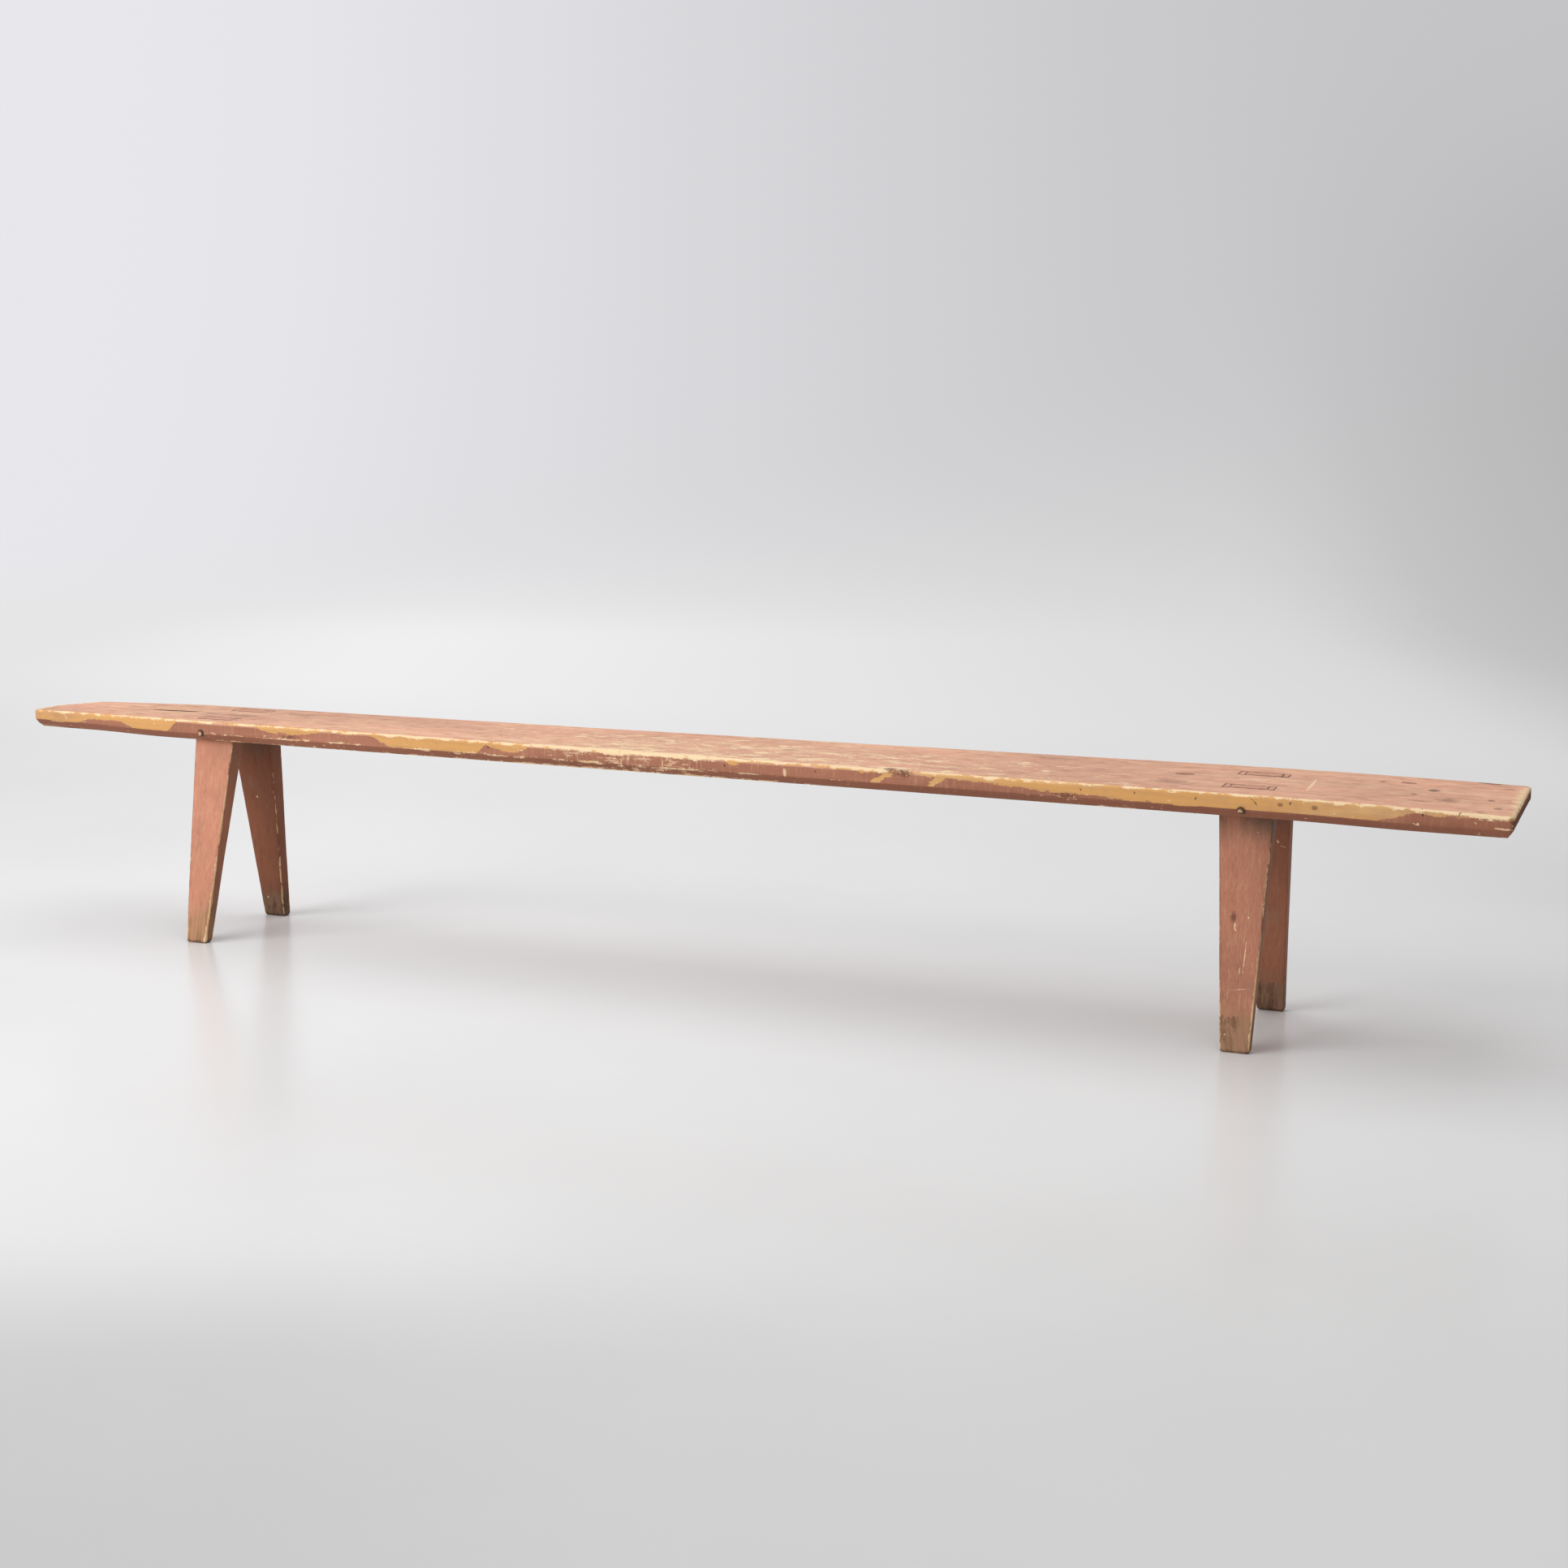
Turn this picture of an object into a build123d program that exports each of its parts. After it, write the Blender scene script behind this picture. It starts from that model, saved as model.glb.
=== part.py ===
"""Long Swedish country bench: one tapering seat plank on four splayed plank legs.

Each leg is one board. Its top end is a tenon that runs right through the seat, is spread by a
wedge at each end of its mortise and is held by a round peg driven in from the long edge.

Units are millimetres. +X runs along the bench to its wide end (the right), +Y to its back and
+Z up. The origin is on the floor, under the middle of the seat.
"""

import os
from typing import NamedTuple

from build123d import *

# ---- Seat plank -------------------------------------------------------------------------------
SEAT_LENGTH = 3000
SEAT_HEIGHT = 450  # floor to the top of the seat
SEAT_THICKNESS = 40
NARROW_END_WIDTH = 194  # left end: the plank follows the taper of the tree
WIDE_END_WIDTH = 328  # right end

BEVEL_HEIGHT = 14  # planed bevel round the lower edge, measured up the side
BEVEL_DEPTH = 10  # the same bevel, measured in along the underside
ARRIS_RADIUS = 6  # upper arris, rounded by sitting and scrubbing
CORNER_RADIUS = 8  # upright corners, but for the narrow end's waney one

WORN_LENGTH = 520  # stretch at the wide end where the top is worn down
WORN_DROP = 7
THINNED_LENGTH = 150  # stretch at the narrow end where the underside is planed thinner
THINNED_RISE = 4

# Waney back corner of the narrow end: a long shallow cut, then a short steep one.
WANE_LENGTH = 300
WANE_DEPTH = 37
CORNER_CUT_LENGTH = 55
CORNER_CUT_DEPTH = 92
WANE_RADIUS = 30  # rounding between the two cuts
CORNER_CUT_RADIUS = 20  # rounding where the steep cut meets the narrow end

# ---- Legs -------------------------------------------------------------------------------------
LEFT_OVERHANG = 439  # from the end of the seat to the centre line of its legs
RIGHT_OVERHANG = 447
LEG_TOP_WIDTH = 94  # at the shoulders, along the bench
LEG_FOOT_WIDTH = 48
LEG_TOP_THICKNESS = 31
LEG_FOOT_THICKNESS = 25
LEFT_TOP_REACH = 82  # outer face at the shoulders, from the bench's centre line
RIGHT_TOP_REACH = 92

# Outer face of each foot from the centre line, and how far the leg leans to the nearer end of
# the seat on its way down. Every leg was splayed by eye.
FRONT_LEFT_FOOT_REACH = 163
FRONT_LEFT_LEAN = 6
BACK_LEFT_FOOT_REACH = 133
BACK_LEFT_LEAN = -2
FRONT_RIGHT_FOOT_REACH = 161
FRONT_RIGHT_LEAN = 5
BACK_RIGHT_FOOT_REACH = 164
BACK_RIGHT_LEAN = 11

LEG_EDGE_RADIUS = 3
FOOT_WEAR = 3  # chamfer worn on the edges of the foot

# ---- Joints -----------------------------------------------------------------------------------
SHOULDER = 3  # ledge at each side of the mortise that carries the seat
WEDGE_HEAD = 11  # wedge thickness at the top of the seat
WEDGE_TIP = 4  # wedge thickness at its lower end
WEDGE_SHORT = 3  # the wedge stops this far above the underside
PEG_DIAMETER = 11.4
LEFT_PEG_BELOW_TOP = 26  # peg axis below the top of the seat
RIGHT_PEG_BELOW_TOP = 29
LEFT_PEG_OFFSET = -15  # peg axis from its leg's centre line, along the bench
RIGHT_PEG_OFFSET = 2
PEG_PROUD = 1.5  # the peg stands out of the plank's edge
PEG_PAST_TENON = 12  # the peg bites into the seat behind the tenon
PEG_END_CHAMFER = 1.2
PEG_MOUTH_WEAR = 1.6  # widening of the hole's mouth
FIT_CLEARANCE = 0.2  # per side, round tenons, wedges and pegs

# ---- Values that follow -----------------------------------------------------------------------
HALF_LENGTH = SEAT_LENGTH / 2
UNDERSIDE = SEAT_HEIGHT - SEAT_THICKNESS
PEG_HOLE_RADIUS = PEG_DIAMETER / 2 + FIT_CLEARANCE
MORTISE_WIDTH = LEG_TOP_WIDTH - 2 * SHOULDER
OVERCUT = SEAT_THICKNESS  # cutting tools run this far past the faces that they cut


class Leg(NamedTuple):
    """Where one leg stands: left or right pair, front or back side."""

    x: float  # centre line at the shoulders
    side: int  # -1 at the front, 1 at the back
    top_reach: float
    foot_reach: float
    foot_shift: float  # of the foot along the bench, from the shoulders
    peg_offset: float
    peg_height: float


def left_leg(side, foot_reach, lean):
    """A leg near the seat's narrow end."""
    x = LEFT_OVERHANG - HALF_LENGTH
    peg_height = SEAT_HEIGHT - LEFT_PEG_BELOW_TOP
    return Leg(x, side, LEFT_TOP_REACH, foot_reach, -lean, LEFT_PEG_OFFSET, peg_height)


def right_leg(side, foot_reach, lean):
    """A leg near the seat's wide end."""
    x = HALF_LENGTH - RIGHT_OVERHANG
    peg_height = SEAT_HEIGHT - RIGHT_PEG_BELOW_TOP
    return Leg(x, side, RIGHT_TOP_REACH, foot_reach, lean, RIGHT_PEG_OFFSET, peg_height)


LEGS = {
    "front_left": left_leg(-1, FRONT_LEFT_FOOT_REACH, FRONT_LEFT_LEAN),
    "back_left": left_leg(1, BACK_LEFT_FOOT_REACH, BACK_LEFT_LEAN),
    "front_right": right_leg(-1, FRONT_RIGHT_FOOT_REACH, FRONT_RIGHT_LEAN),
    "back_right": right_leg(1, BACK_RIGHT_FOOT_REACH, BACK_RIGHT_LEAN),
}


def half_width(x):
    """Half the seat's width at x, before the waney corner is cut."""
    along = (x + HALF_LENGTH) / SEAT_LENGTH
    return (NARROW_END_WIDTH + (WIDE_END_WIDTH - NARROW_END_WIDTH) * along) / 2


def outline(plane, points):
    """A closed straight-sided face through points on plane."""
    return plane * make_face(Polyline(*points, close=True))


def sawn_to(front_points, side_points, reach):
    """A board sawn to one outline seen from the front and to another seen from the end."""
    front = extrude(outline(Plane.XZ, front_points), amount=reach, both=True)
    side = extrude(outline(Plane.YZ, side_points), amount=reach, both=True)
    return front & side


def mirrored(half):
    """The half outline, then the same points mirrored back to the start."""
    return half + [(-x, z) for x, z in reversed(half)]


def outer_face(leg, z):
    """Distance of a leg's outer face, or of its tenon's, from the centre line at height z."""
    splay = (leg.foot_reach - leg.top_reach) / UNDERSIDE
    return leg.top_reach + splay * (UNDERSIDE - z)


def cheeks(leg, low, high, clearance):
    """End view of a tenon or its mortise, from height low to height high."""
    def outer(z):
        return leg.side * (outer_face(leg, z) - clearance)

    def inner(z):
        return leg.side * (outer_face(leg, z) - LEG_TOP_THICKNESS + clearance)

    return [(outer(low), low), (outer(high), high), (inner(high), high), (inner(low), low)]


def wedge_thickness(z):
    """Wedge thickness at height z: it tapers evenly from the top of the seat to its tip."""
    tip_height = UNDERSIDE + WEDGE_SHORT
    return WEDGE_TIP + (WEDGE_HEAD - WEDGE_TIP) * (z - tip_height) / (SEAT_HEIGHT - tip_height)


def tenon_half_width(z):
    """Half the tenon's width at height z: its ends slope to meet the two wedges."""
    return MORTISE_WIDTH / 2 - wedge_thickness(z) - 2 * FIT_CLEARANCE


# ---- Seat -------------------------------------------------------------------------------------
def seat_outline():
    """Plan of the seat, with the narrow end's back corner cut twice as the bark edge ran."""
    wane_start = -HALF_LENGTH + WANE_LENGTH
    cut_start = -HALF_LENGTH + CORNER_CUT_LENGTH
    cut_y = half_width(cut_start) - WANE_DEPTH
    return [
        (-HALF_LENGTH, -half_width(-HALF_LENGTH)),
        (HALF_LENGTH, -half_width(HALF_LENGTH)),
        (HALF_LENGTH, half_width(HALF_LENGTH)),
        (wane_start, half_width(wane_start)),
        (cut_start, cut_y),
        (-HALF_LENGTH, cut_y - CORNER_CUT_DEPTH),
    ]


def seat_side_view():
    """Side view of the seat: thinned below at the narrow end, worn hollow at the wide end."""
    worn_start = (HALF_LENGTH - WORN_LENGTH, SEAT_HEIGHT)
    worn_end = (HALF_LENGTH, SEAT_HEIGHT - WORN_DROP)
    worn = TangentArc(worn_start, worn_end, tangent=(1, 0))
    rest = Polyline(
        worn_end,
        (HALF_LENGTH, UNDERSIDE),
        (-HALF_LENGTH + THINNED_LENGTH, UNDERSIDE),
        (-HALF_LENGTH, UNDERSIDE + THINNED_RISE),
        (-HALF_LENGTH, SEAT_HEIGHT),
        worn_start,
    )
    return Plane.XZ * make_face([worn, rest])


def upright_edges_near(solid, x, y, reach):
    """Upright edges of solid within reach of the point x, y."""
    uprights = solid.edges().filter_by(Axis.Z)
    return uprights.filter_by(lambda e: (e.center() - Vector(x, y, e.center().Z)).length < reach)


def seat_blank():
    """The plank before it is morticed."""
    plan = outline(Plane.XY.offset(UNDERSIDE), seat_outline())
    plank = extrude(plan, amount=SEAT_THICKNESS)

    *square_corners, _, cut_corner, end_corner = seat_outline()
    for corner, radius in ((cut_corner, WANE_RADIUS), (end_corner, CORNER_CUT_RADIUS)):
        plank = fillet(upright_edges_near(plank, *corner, CORNER_RADIUS), radius)

    underside = plank.faces().sort_by(Axis.Z)[0]
    plank = chamfer(underside.edges(), BEVEL_DEPTH, BEVEL_HEIGHT, reference=underside)
    for corner in square_corners:
        plank = fillet(upright_edges_near(plank, *corner, CORNER_RADIUS), CORNER_RADIUS)

    plank &= extrude(seat_side_view(), amount=WIDE_END_WIDTH, both=True)
    top_faces = plank.faces().filter_by(lambda f: f.normal_at().Z > 0.9)
    rim = [e for f in top_faces for e in f.edges() if sum(e in g.edges() for g in top_faces) == 1]
    return fillet(rim, ARRIS_RADIUS)


def mortise(leg):
    """The slanted hole that a leg's tenon and its two wedges fill."""
    low = UNDERSIDE - OVERCUT
    high = SEAT_HEIGHT + OVERCUT
    front_view = mirrored([(MORTISE_WIDTH / 2, low), (MORTISE_WIDTH / 2, high)])
    return Pos(leg.x, 0, 0) * sawn_to(front_view, cheeks(leg, low, high, 0), WIDE_END_WIDTH)


def peg_ends(leg):
    """The two ends of a peg along Y: where it meets the plank's edge and where it stops."""
    edge_y = leg.side * half_width(leg.x + leg.peg_offset)
    inner_cheek = outer_face(leg, leg.peg_height) - LEG_TOP_THICKNESS
    return edge_y, leg.side * (inner_cheek - PEG_PAST_TENON)


def along_peg(leg, radius_out, radius_in, start, length):
    """A round or conical form on a peg's axis, start millimetres in from the plank's edge."""
    edge_y, _ = peg_ends(leg)
    mouth = (leg.x + leg.peg_offset, edge_y - leg.side * start, leg.peg_height)
    inwards = Plane(mouth, z_dir=(0, -leg.side, 0))
    if radius_out == radius_in:
        form = Cylinder(radius_out, length, align=(Align.CENTER, Align.CENTER, Align.MIN))
    else:
        form = Cone(radius_out, radius_in, length, align=(Align.CENTER, Align.CENTER, Align.MIN))
    return inwards * form


def peg_hole(leg):
    """The drilled hole for a peg, from outside the plank's edge to just past the peg's end."""
    edge_y, end_y = peg_ends(leg)
    depth = abs(edge_y - end_y) + FIT_CLEARANCE
    return along_peg(leg, PEG_HOLE_RADIUS, PEG_HOLE_RADIUS, -OVERCUT, depth + OVERCUT)


def peg_mouth(leg):
    """The worn, funnelled mouth of a peg's hole."""
    wide = PEG_HOLE_RADIUS + PEG_MOUTH_WEAR
    return along_peg(leg, wide, PEG_HOLE_RADIUS, 0, PEG_MOUTH_WEAR)


def seat_plank():
    seat = seat_blank()
    for leg in LEGS.values():
        seat -= mortise(leg)
        seat -= peg_hole(leg)
        seat -= peg_mouth(leg)
    return seat


# ---- Legs, wedges and pegs --------------------------------------------------------------------
def leg_board(leg):
    """A tapered board, splayed outwards, with level shoulders and a tenon on top."""
    board = sawn_to(
        [
            (leg.foot_shift - LEG_FOOT_WIDTH / 2, 0),
            (leg.foot_shift + LEG_FOOT_WIDTH / 2, 0),
            (LEG_TOP_WIDTH / 2, UNDERSIDE),
            (-LEG_TOP_WIDTH / 2, UNDERSIDE),
        ],
        [
            (leg.side * leg.foot_reach, 0),
            (leg.side * leg.top_reach, UNDERSIDE),
            (leg.side * (leg.top_reach - LEG_TOP_THICKNESS), UNDERSIDE),
            (leg.side * (leg.foot_reach - LEG_FOOT_THICKNESS), 0),
        ],
        WIDE_END_WIDTH,
    )
    foot = board.faces().sort_by(Axis.Z)[0]
    board = chamfer(foot.edges(), FOOT_WEAR)
    long_edges = board.edges().filter_by(lambda e: e.length > UNDERSIDE / 2)
    board = fillet(long_edges, LEG_EDGE_RADIUS)

    tenon = sawn_to(
        mirrored([
            (tenon_half_width(UNDERSIDE), UNDERSIDE),
            (tenon_half_width(SEAT_HEIGHT), SEAT_HEIGHT),
        ]),
        cheeks(leg, UNDERSIDE, SEAT_HEIGHT, FIT_CLEARANCE),
        WIDE_END_WIDTH,
    )
    return Pos(leg.x, 0, 0) * (board + tenon) - peg_hole(leg)


def wedge(leg, end):
    """A wedge between the tenon and the end of its mortise; end is -1 for left, 1 for right."""
    low = UNDERSIDE + WEDGE_SHORT
    outside = end * (MORTISE_WIDTH / 2 - FIT_CLEARANCE)
    front_view = [
        (outside, low),
        (outside, SEAT_HEIGHT),
        (outside - end * WEDGE_HEAD, SEAT_HEIGHT),
        (outside - end * WEDGE_TIP, low),
    ]
    end_view = cheeks(leg, low, SEAT_HEIGHT, FIT_CLEARANCE)
    return Pos(leg.x, 0, 0) * sawn_to(front_view, end_view, WIDE_END_WIDTH)


def peg(leg):
    """A round peg through the tenon, its outer end slightly rounded and proud of the edge."""
    edge_y, end_y = peg_ends(leg)
    length = abs(edge_y - end_y) + PEG_PROUD
    dowel = along_peg(leg, PEG_DIAMETER / 2, PEG_DIAMETER / 2, -PEG_PROUD, length)
    ends = dowel.edges().filter_by(GeomType.CIRCLE)
    return chamfer(ends, PEG_END_CHAMFER)


def main():
    os.makedirs("parts", exist_ok=True)
    pieces = {"seat_plank": seat_plank()}
    for name, leg in LEGS.items():
        towards_end = -1 if leg.x < 0 else 1
        pieces[f"leg_{name}"] = leg_board(leg)
        pieces[f"wedge_{name}_outer"] = wedge(leg, towards_end)
        pieces[f"wedge_{name}_inner"] = wedge(leg, -towards_end)
        pieces[f"peg_{name}"] = peg(leg)
    for node, shape in pieces.items():
        shape.label = node
        export_step(shape, f"parts/{node}.step")


main()
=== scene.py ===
import math

import bmesh
import bpy
import numpy as np
from mathutils import Matrix, Vector, noise


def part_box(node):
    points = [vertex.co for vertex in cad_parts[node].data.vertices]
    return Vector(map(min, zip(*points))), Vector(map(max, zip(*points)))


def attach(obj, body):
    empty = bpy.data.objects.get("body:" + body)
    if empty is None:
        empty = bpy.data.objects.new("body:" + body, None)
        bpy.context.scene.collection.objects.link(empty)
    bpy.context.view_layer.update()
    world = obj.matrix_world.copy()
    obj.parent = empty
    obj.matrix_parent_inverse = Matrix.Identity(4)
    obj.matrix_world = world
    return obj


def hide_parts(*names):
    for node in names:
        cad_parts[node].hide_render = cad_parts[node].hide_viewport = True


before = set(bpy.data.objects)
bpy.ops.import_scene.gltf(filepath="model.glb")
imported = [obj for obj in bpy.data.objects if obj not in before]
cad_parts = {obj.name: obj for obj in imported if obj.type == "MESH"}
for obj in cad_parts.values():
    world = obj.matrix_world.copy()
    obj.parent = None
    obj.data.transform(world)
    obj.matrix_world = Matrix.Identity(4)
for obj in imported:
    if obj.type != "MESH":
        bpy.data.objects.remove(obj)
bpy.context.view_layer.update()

bl_info = {
    "name": "Country Plank Bench",
    "version": (1, 0, 0),
    "blender": (4, 5, 0),
    "location": "3D View > Sidebar > Bench",
    "description": "Hand-planed plank, legs, wedges and pegs in worn paint, over the packed bench",
    "category": "Object",
}

MM = 0.001
ENDS = ("front_left", "back_left", "front_right", "back_right")
SEAT_LOW, SEAT_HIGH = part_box("seat_plank")


def painted(red, green, blue):
    """A colour given as a screen shows it, turned into the linear values that a shader takes."""
    def linear(value):
        return value / 12.92 if value <= 0.04045 else ((value + 0.055) / 1.055) ** 2.4

    return tuple(linear(value / 255) for value in (red, green, blue))


# ---- What a user may change ---------------------------------------------------------------------
def length(name, description, default, **limits):
    return bpy.props.FloatProperty(
        name=name, description=description, default=default, unit="LENGTH", precision=4, **limits
    )


def share(name, description, default):
    return bpy.props.FloatProperty(
        name=name, description=description, default=default, min=0, max=1, subtype="FACTOR"
    )


def colour(name, description, default):
    return bpy.props.FloatVectorProperty(
        name=name, description=description, default=default, size=3, min=0, max=1, subtype="COLOR"
    )


class BenchSizes(bpy.types.PropertyGroup):
    """Sizes of the plank's shaping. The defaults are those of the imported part."""

    narrow_width: length("Narrow end", "Width of the plank's narrow end, before the wane", 0.194)
    wide_width: length("Wide end", "Width of the plank's wide end", SEAT_HIGH.y - SEAT_LOW.y)
    wane_length: length("Wane length", "How far the waney back edge runs from the narrow end", 0.3)
    wane_depth: length("Wane depth", "How far the wane cuts in where the corner cut begins", 0.037)
    cut_length: length("Corner cut length", "Steep cut at the waney corner, along the bench", 0.055)
    cut_depth: length("Corner cut depth", "Steep cut at the waney corner, across the bench", 0.092)
    bevel_height: length("Bevel height", "Planed bevel below, measured up the edge", 0.014)
    bevel_depth: length("Bevel depth", "Planed bevel below, measured in from the edge", 0.010)
    arris_radius: length("Arris radius", "Rounding of the top edge by use", 0.0055)
    worn_length: length("Worn length", "Stretch of the wide end that is worn down", 0.52)
    worn_drop: length("Worn drop", "How far the wide end is worn down", 0.007)
    thinned_length: length("Thinned length", "Stretch of the narrow end planed thinner below", 0.33)
    thinned_rise: length("Thinned rise", "How much thinner the narrow end is", 0.0038)
    nose_bevel: length("Nose bevel", "How much deeper the bevel is at the narrow end", 0.004)
    peg_gap: length("Peg gap", "Widening of the peg holes' mouths", 0.0016)
    joint_gap: length("Joint gap", "Opening round the tenons at the top of the seat", 0.0005)


class BenchFinish(bpy.types.PropertyGroup):
    """Colours, among them those of painted shade, and amounts of wear."""

    paint: colour("Paint", "Faded pink paint of the legs", painted(207, 140, 114))
    # Top paint is faded, dusty paint, made lighter than the legs' paint also as painted sheen
    top_paint: colour("Top paint", "Faded paint on top of the seat", painted(221, 163, 137))
    edge_paint: colour("Edge paint", "Darker paint on the seat's long edges", painted(166, 109, 85))
    deep_paint: colour("Deep paint", "Unfaded paint that gets little light", painted(134, 82, 62))
    # Shade paint is painted shade: the dark colour of the legs' inner and narrow side faces stands
    # in for the shade there. The seat's wide end face is mixed from it too
    shade_paint: colour("Shade paint", "Paint on the inner faces of the legs", painted(122, 74, 53))
    ochre: colour("Ochre", "Coat that shows where the edge is worn", painted(219, 163, 99))
    cream: colour("Cream", "Scrubbed wood on the arrises", painted(243, 213, 171))
    wood: colour("Wood", "Bare old pine", painted(182, 138, 104))
    end_wood: colour("End grain", "Bare end grain of the pegs", painted(205, 160, 122))
    # Smoke is grey bloom on paint and stains, and also a tone of the legs' painted shade
    smoke_and_shade: colour("Smoke", "Grey bloom on sheltered paint and stains", painted(128, 106, 90))
    # Grime is dirt, and also the darkest tone of the painted shade on the legs and in the peg
    # holes' mouths
    grime_and_shade: colour("Grime", "Dirt in gaps, checks and on the feet", painted(62, 42, 33))
    arris_wear: share("Arris wear", "How much paint has gone from the arrises", 0.5)
    top_wear: share("Top wear", "How much paint has gone from the top of the seat", 0.5)
    foot_wear: share("Foot wear", "How much paint has gone from the feet", 0.5)


class BenchStudio(bpy.types.PropertyGroup):
    """Floor, lamps and camera."""

    floor: colour("Floor", "Colour of the floor", painted(231, 231, 231))
    # The backdrop glows instead of being lit: its left and right tones are painted light, brighter
    # at the left as the key lamp would make them
    backdrop_left: colour("Backdrop, left", "Tone of its left side", painted(232, 231, 235))
    backdrop_right: colour("Backdrop, right", "Tone of its right side", painted(196, 196, 199))
    key_power: bpy.props.FloatProperty(
        name="Key lamp", description="Power of the lamp at the left", default=270, unit="POWER"
    )
    fill_power: bpy.props.FloatProperty(
        name="Fill lamp", description="Power of the lamp above", default=80, unit="POWER"
    )
    sky: share("Room light", "Strength of the light from all round", 0.5)
    lens: bpy.props.FloatProperty(
        name="Lens", description="Focal length on a 36 mm sensor", default=54.79, unit="CAMERA"
    )


# ---- Geometry helpers ---------------------------------------------------------------------------
def wander(x, y=0.0, z=0.0, pace=1.0, seed=0.0):
    """Smooth noise from -1 to 1 that changes over about 1 / pace metres."""
    return noise.noise(Vector((x * pace + seed, y * pace - seed * 0.7, z * pace + seed * 1.3)))


def ease(value, start, end):
    """0 before start, 1 after end and a smooth rise between. Works on arrays too."""
    share_done = np.clip((value - start) / (end - start), 0, 1)
    return share_done * share_done * (3 - 2 * share_done)


def section(node, z):
    """x and y ranges of a straight-sided CAD node at height z: x low, x high, y low, y high."""
    points = np.array([v.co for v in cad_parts[node].data.vertices])
    edges = np.array([e.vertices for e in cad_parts[node].data.edges])
    ends = points[edges]
    low, high = ends[:, 0, 2], ends[:, 1, 2]
    crossing = (low - z) * (high - z) < 0
    part = ((z - low[crossing]) / (high - low)[crossing])[:, None]
    cut = ends[crossing, 0] * (1 - part) + ends[crossing, 1] * part
    return np.array([cut[:, 0].min(), cut[:, 0].max(), cut[:, 1].min(), cut[:, 1].max()])


def taper(node, low, high):
    """A function that gives the node's section at any height, from its sections at two."""
    first, last = section(node, low), section(node, high)
    return lambda z: first + (last - first) * (z - low) / (high - low)


def rounded_rectangle(sides, radii, cells=(6, 3), steps=4):
    """Points round a rectangle with four rounded corners, anticlockwise from its low corner.

    sides is x low, x high, y low, y high; radii belong to the corners in the same order.
    """
    x0, x1, y0, y1 = sides
    corners = ((x0, y0, 1, 1), (x1, y0, -1, 1), (x1, y1, -1, -1), (x0, y1, 1, -1))
    points = []
    for turn, ((x, y, in_x, in_y), radius) in enumerate(zip(corners, radii)):
        centre = np.array((x + in_x * radius, y + in_y * radius))
        for step in range(steps + 1):
            angle = math.pi * (1 + turn / 2 + step / steps / 2)
            points.append(centre + radius * np.array((math.cos(angle), math.sin(angle))))
        x_next, y_next, in_x_next, in_y_next = corners[(turn + 1) % 4]
        radius_next = radii[(turn + 1) % 4]
        along_x = turn % 2 == 0
        if along_x:
            target = np.array((x_next + in_x_next * radius_next, y_next))
        else:
            target = np.array((x_next, y_next + in_y_next * radius_next))
        count = cells[0] if along_x else cells[1]
        start = points[-1]
        for cell in range(1, count):
            points.append(start + (target - start) * cell / count)
    return np.array(points)


def at_height(plan, heights):
    """Plan points with their heights: one number, or one for each point."""
    return np.column_stack((plan, np.broadcast_to(heights, len(plan))))


def skin(rings, cap_first=True, cap_last=True):
    """Points and faces of a closed skin over rings that all have as many points."""
    count = len(rings[0])
    faces = []
    for level in range(len(rings) - 1):
        low, high = level * count, (level + 1) * count
        for i in range(count):
            j = (i + 1) % count
            faces.append((low + i, low + j, high + j, high + i))
    if cap_first:
        faces.append(tuple(range(count - 1, -1, -1)))
    if cap_last:
        last = (len(rings) - 1) * count
        faces.append(tuple(range(last, last + count)))
    return np.concatenate(rings), faces


def joined(forms):
    """One list of points and faces from several."""
    points, faces, start = [], [], 0
    for form_points, form_faces in forms:
        points.append(form_points)
        faces += [tuple(start + i for i in face) for face in form_faces]
        start += len(form_points)
    return np.concatenate(points), faces


def piece_from(name, points, faces):
    """A new object whose faces all look outwards."""
    mesh = bpy.data.meshes.new(name)
    mesh.from_pydata(np.asarray(points).tolist(), [], faces)
    work = bmesh.new()
    work.from_mesh(mesh)
    bmesh.ops.recalc_face_normals(work, faces=work.faces)
    work.to_mesh(mesh)
    work.free()
    mesh.update()
    piece = bpy.data.objects.new(name, mesh)
    bpy.context.scene.collection.objects.link(piece)
    return piece


def cut_away(piece, forms):
    """Cuts closed forms out of a piece and leaves a plain mesh."""
    cutter = piece_from("cutter", *joined(forms))
    boolean = piece.modifiers.new("cut", "BOOLEAN")
    boolean.operation = "DIFFERENCE"
    boolean.solver = "EXACT"
    boolean.use_self = True
    boolean.object = cutter
    shaped = piece.evaluated_get(bpy.context.evaluated_depsgraph_get())
    mesh = bpy.data.meshes.new_from_object(shaped)
    piece.modifiers.clear()
    old = piece.data
    piece.data = mesh
    mesh.name = piece.name
    bpy.data.meshes.remove(old)
    bpy.data.objects.remove(cutter)


def finish_piece(piece, node, material, crease=math.radians(38)):
    """Shades a piece, gives it its material and seats it on the frame in place of its node."""
    piece.data.materials.clear()
    piece.data.materials.append(material)
    piece.data.shade_smooth()
    piece.data.set_sharp_from_angle(angle=crease)
    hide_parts(node)
    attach(piece, "root")


def mark(piece, name, values):
    """Stores one number for each point of a piece, for its material to read."""
    layer = piece.data.attributes.new(name, "FLOAT", "POINT")
    layer.data.foreach_set("value", np.asarray(values, dtype=np.float32))


def points_of(piece):
    co = np.zeros(len(piece.data.vertices) * 3)
    piece.data.vertices.foreach_get("co", co)
    return co.reshape(-1, 3)


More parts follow.
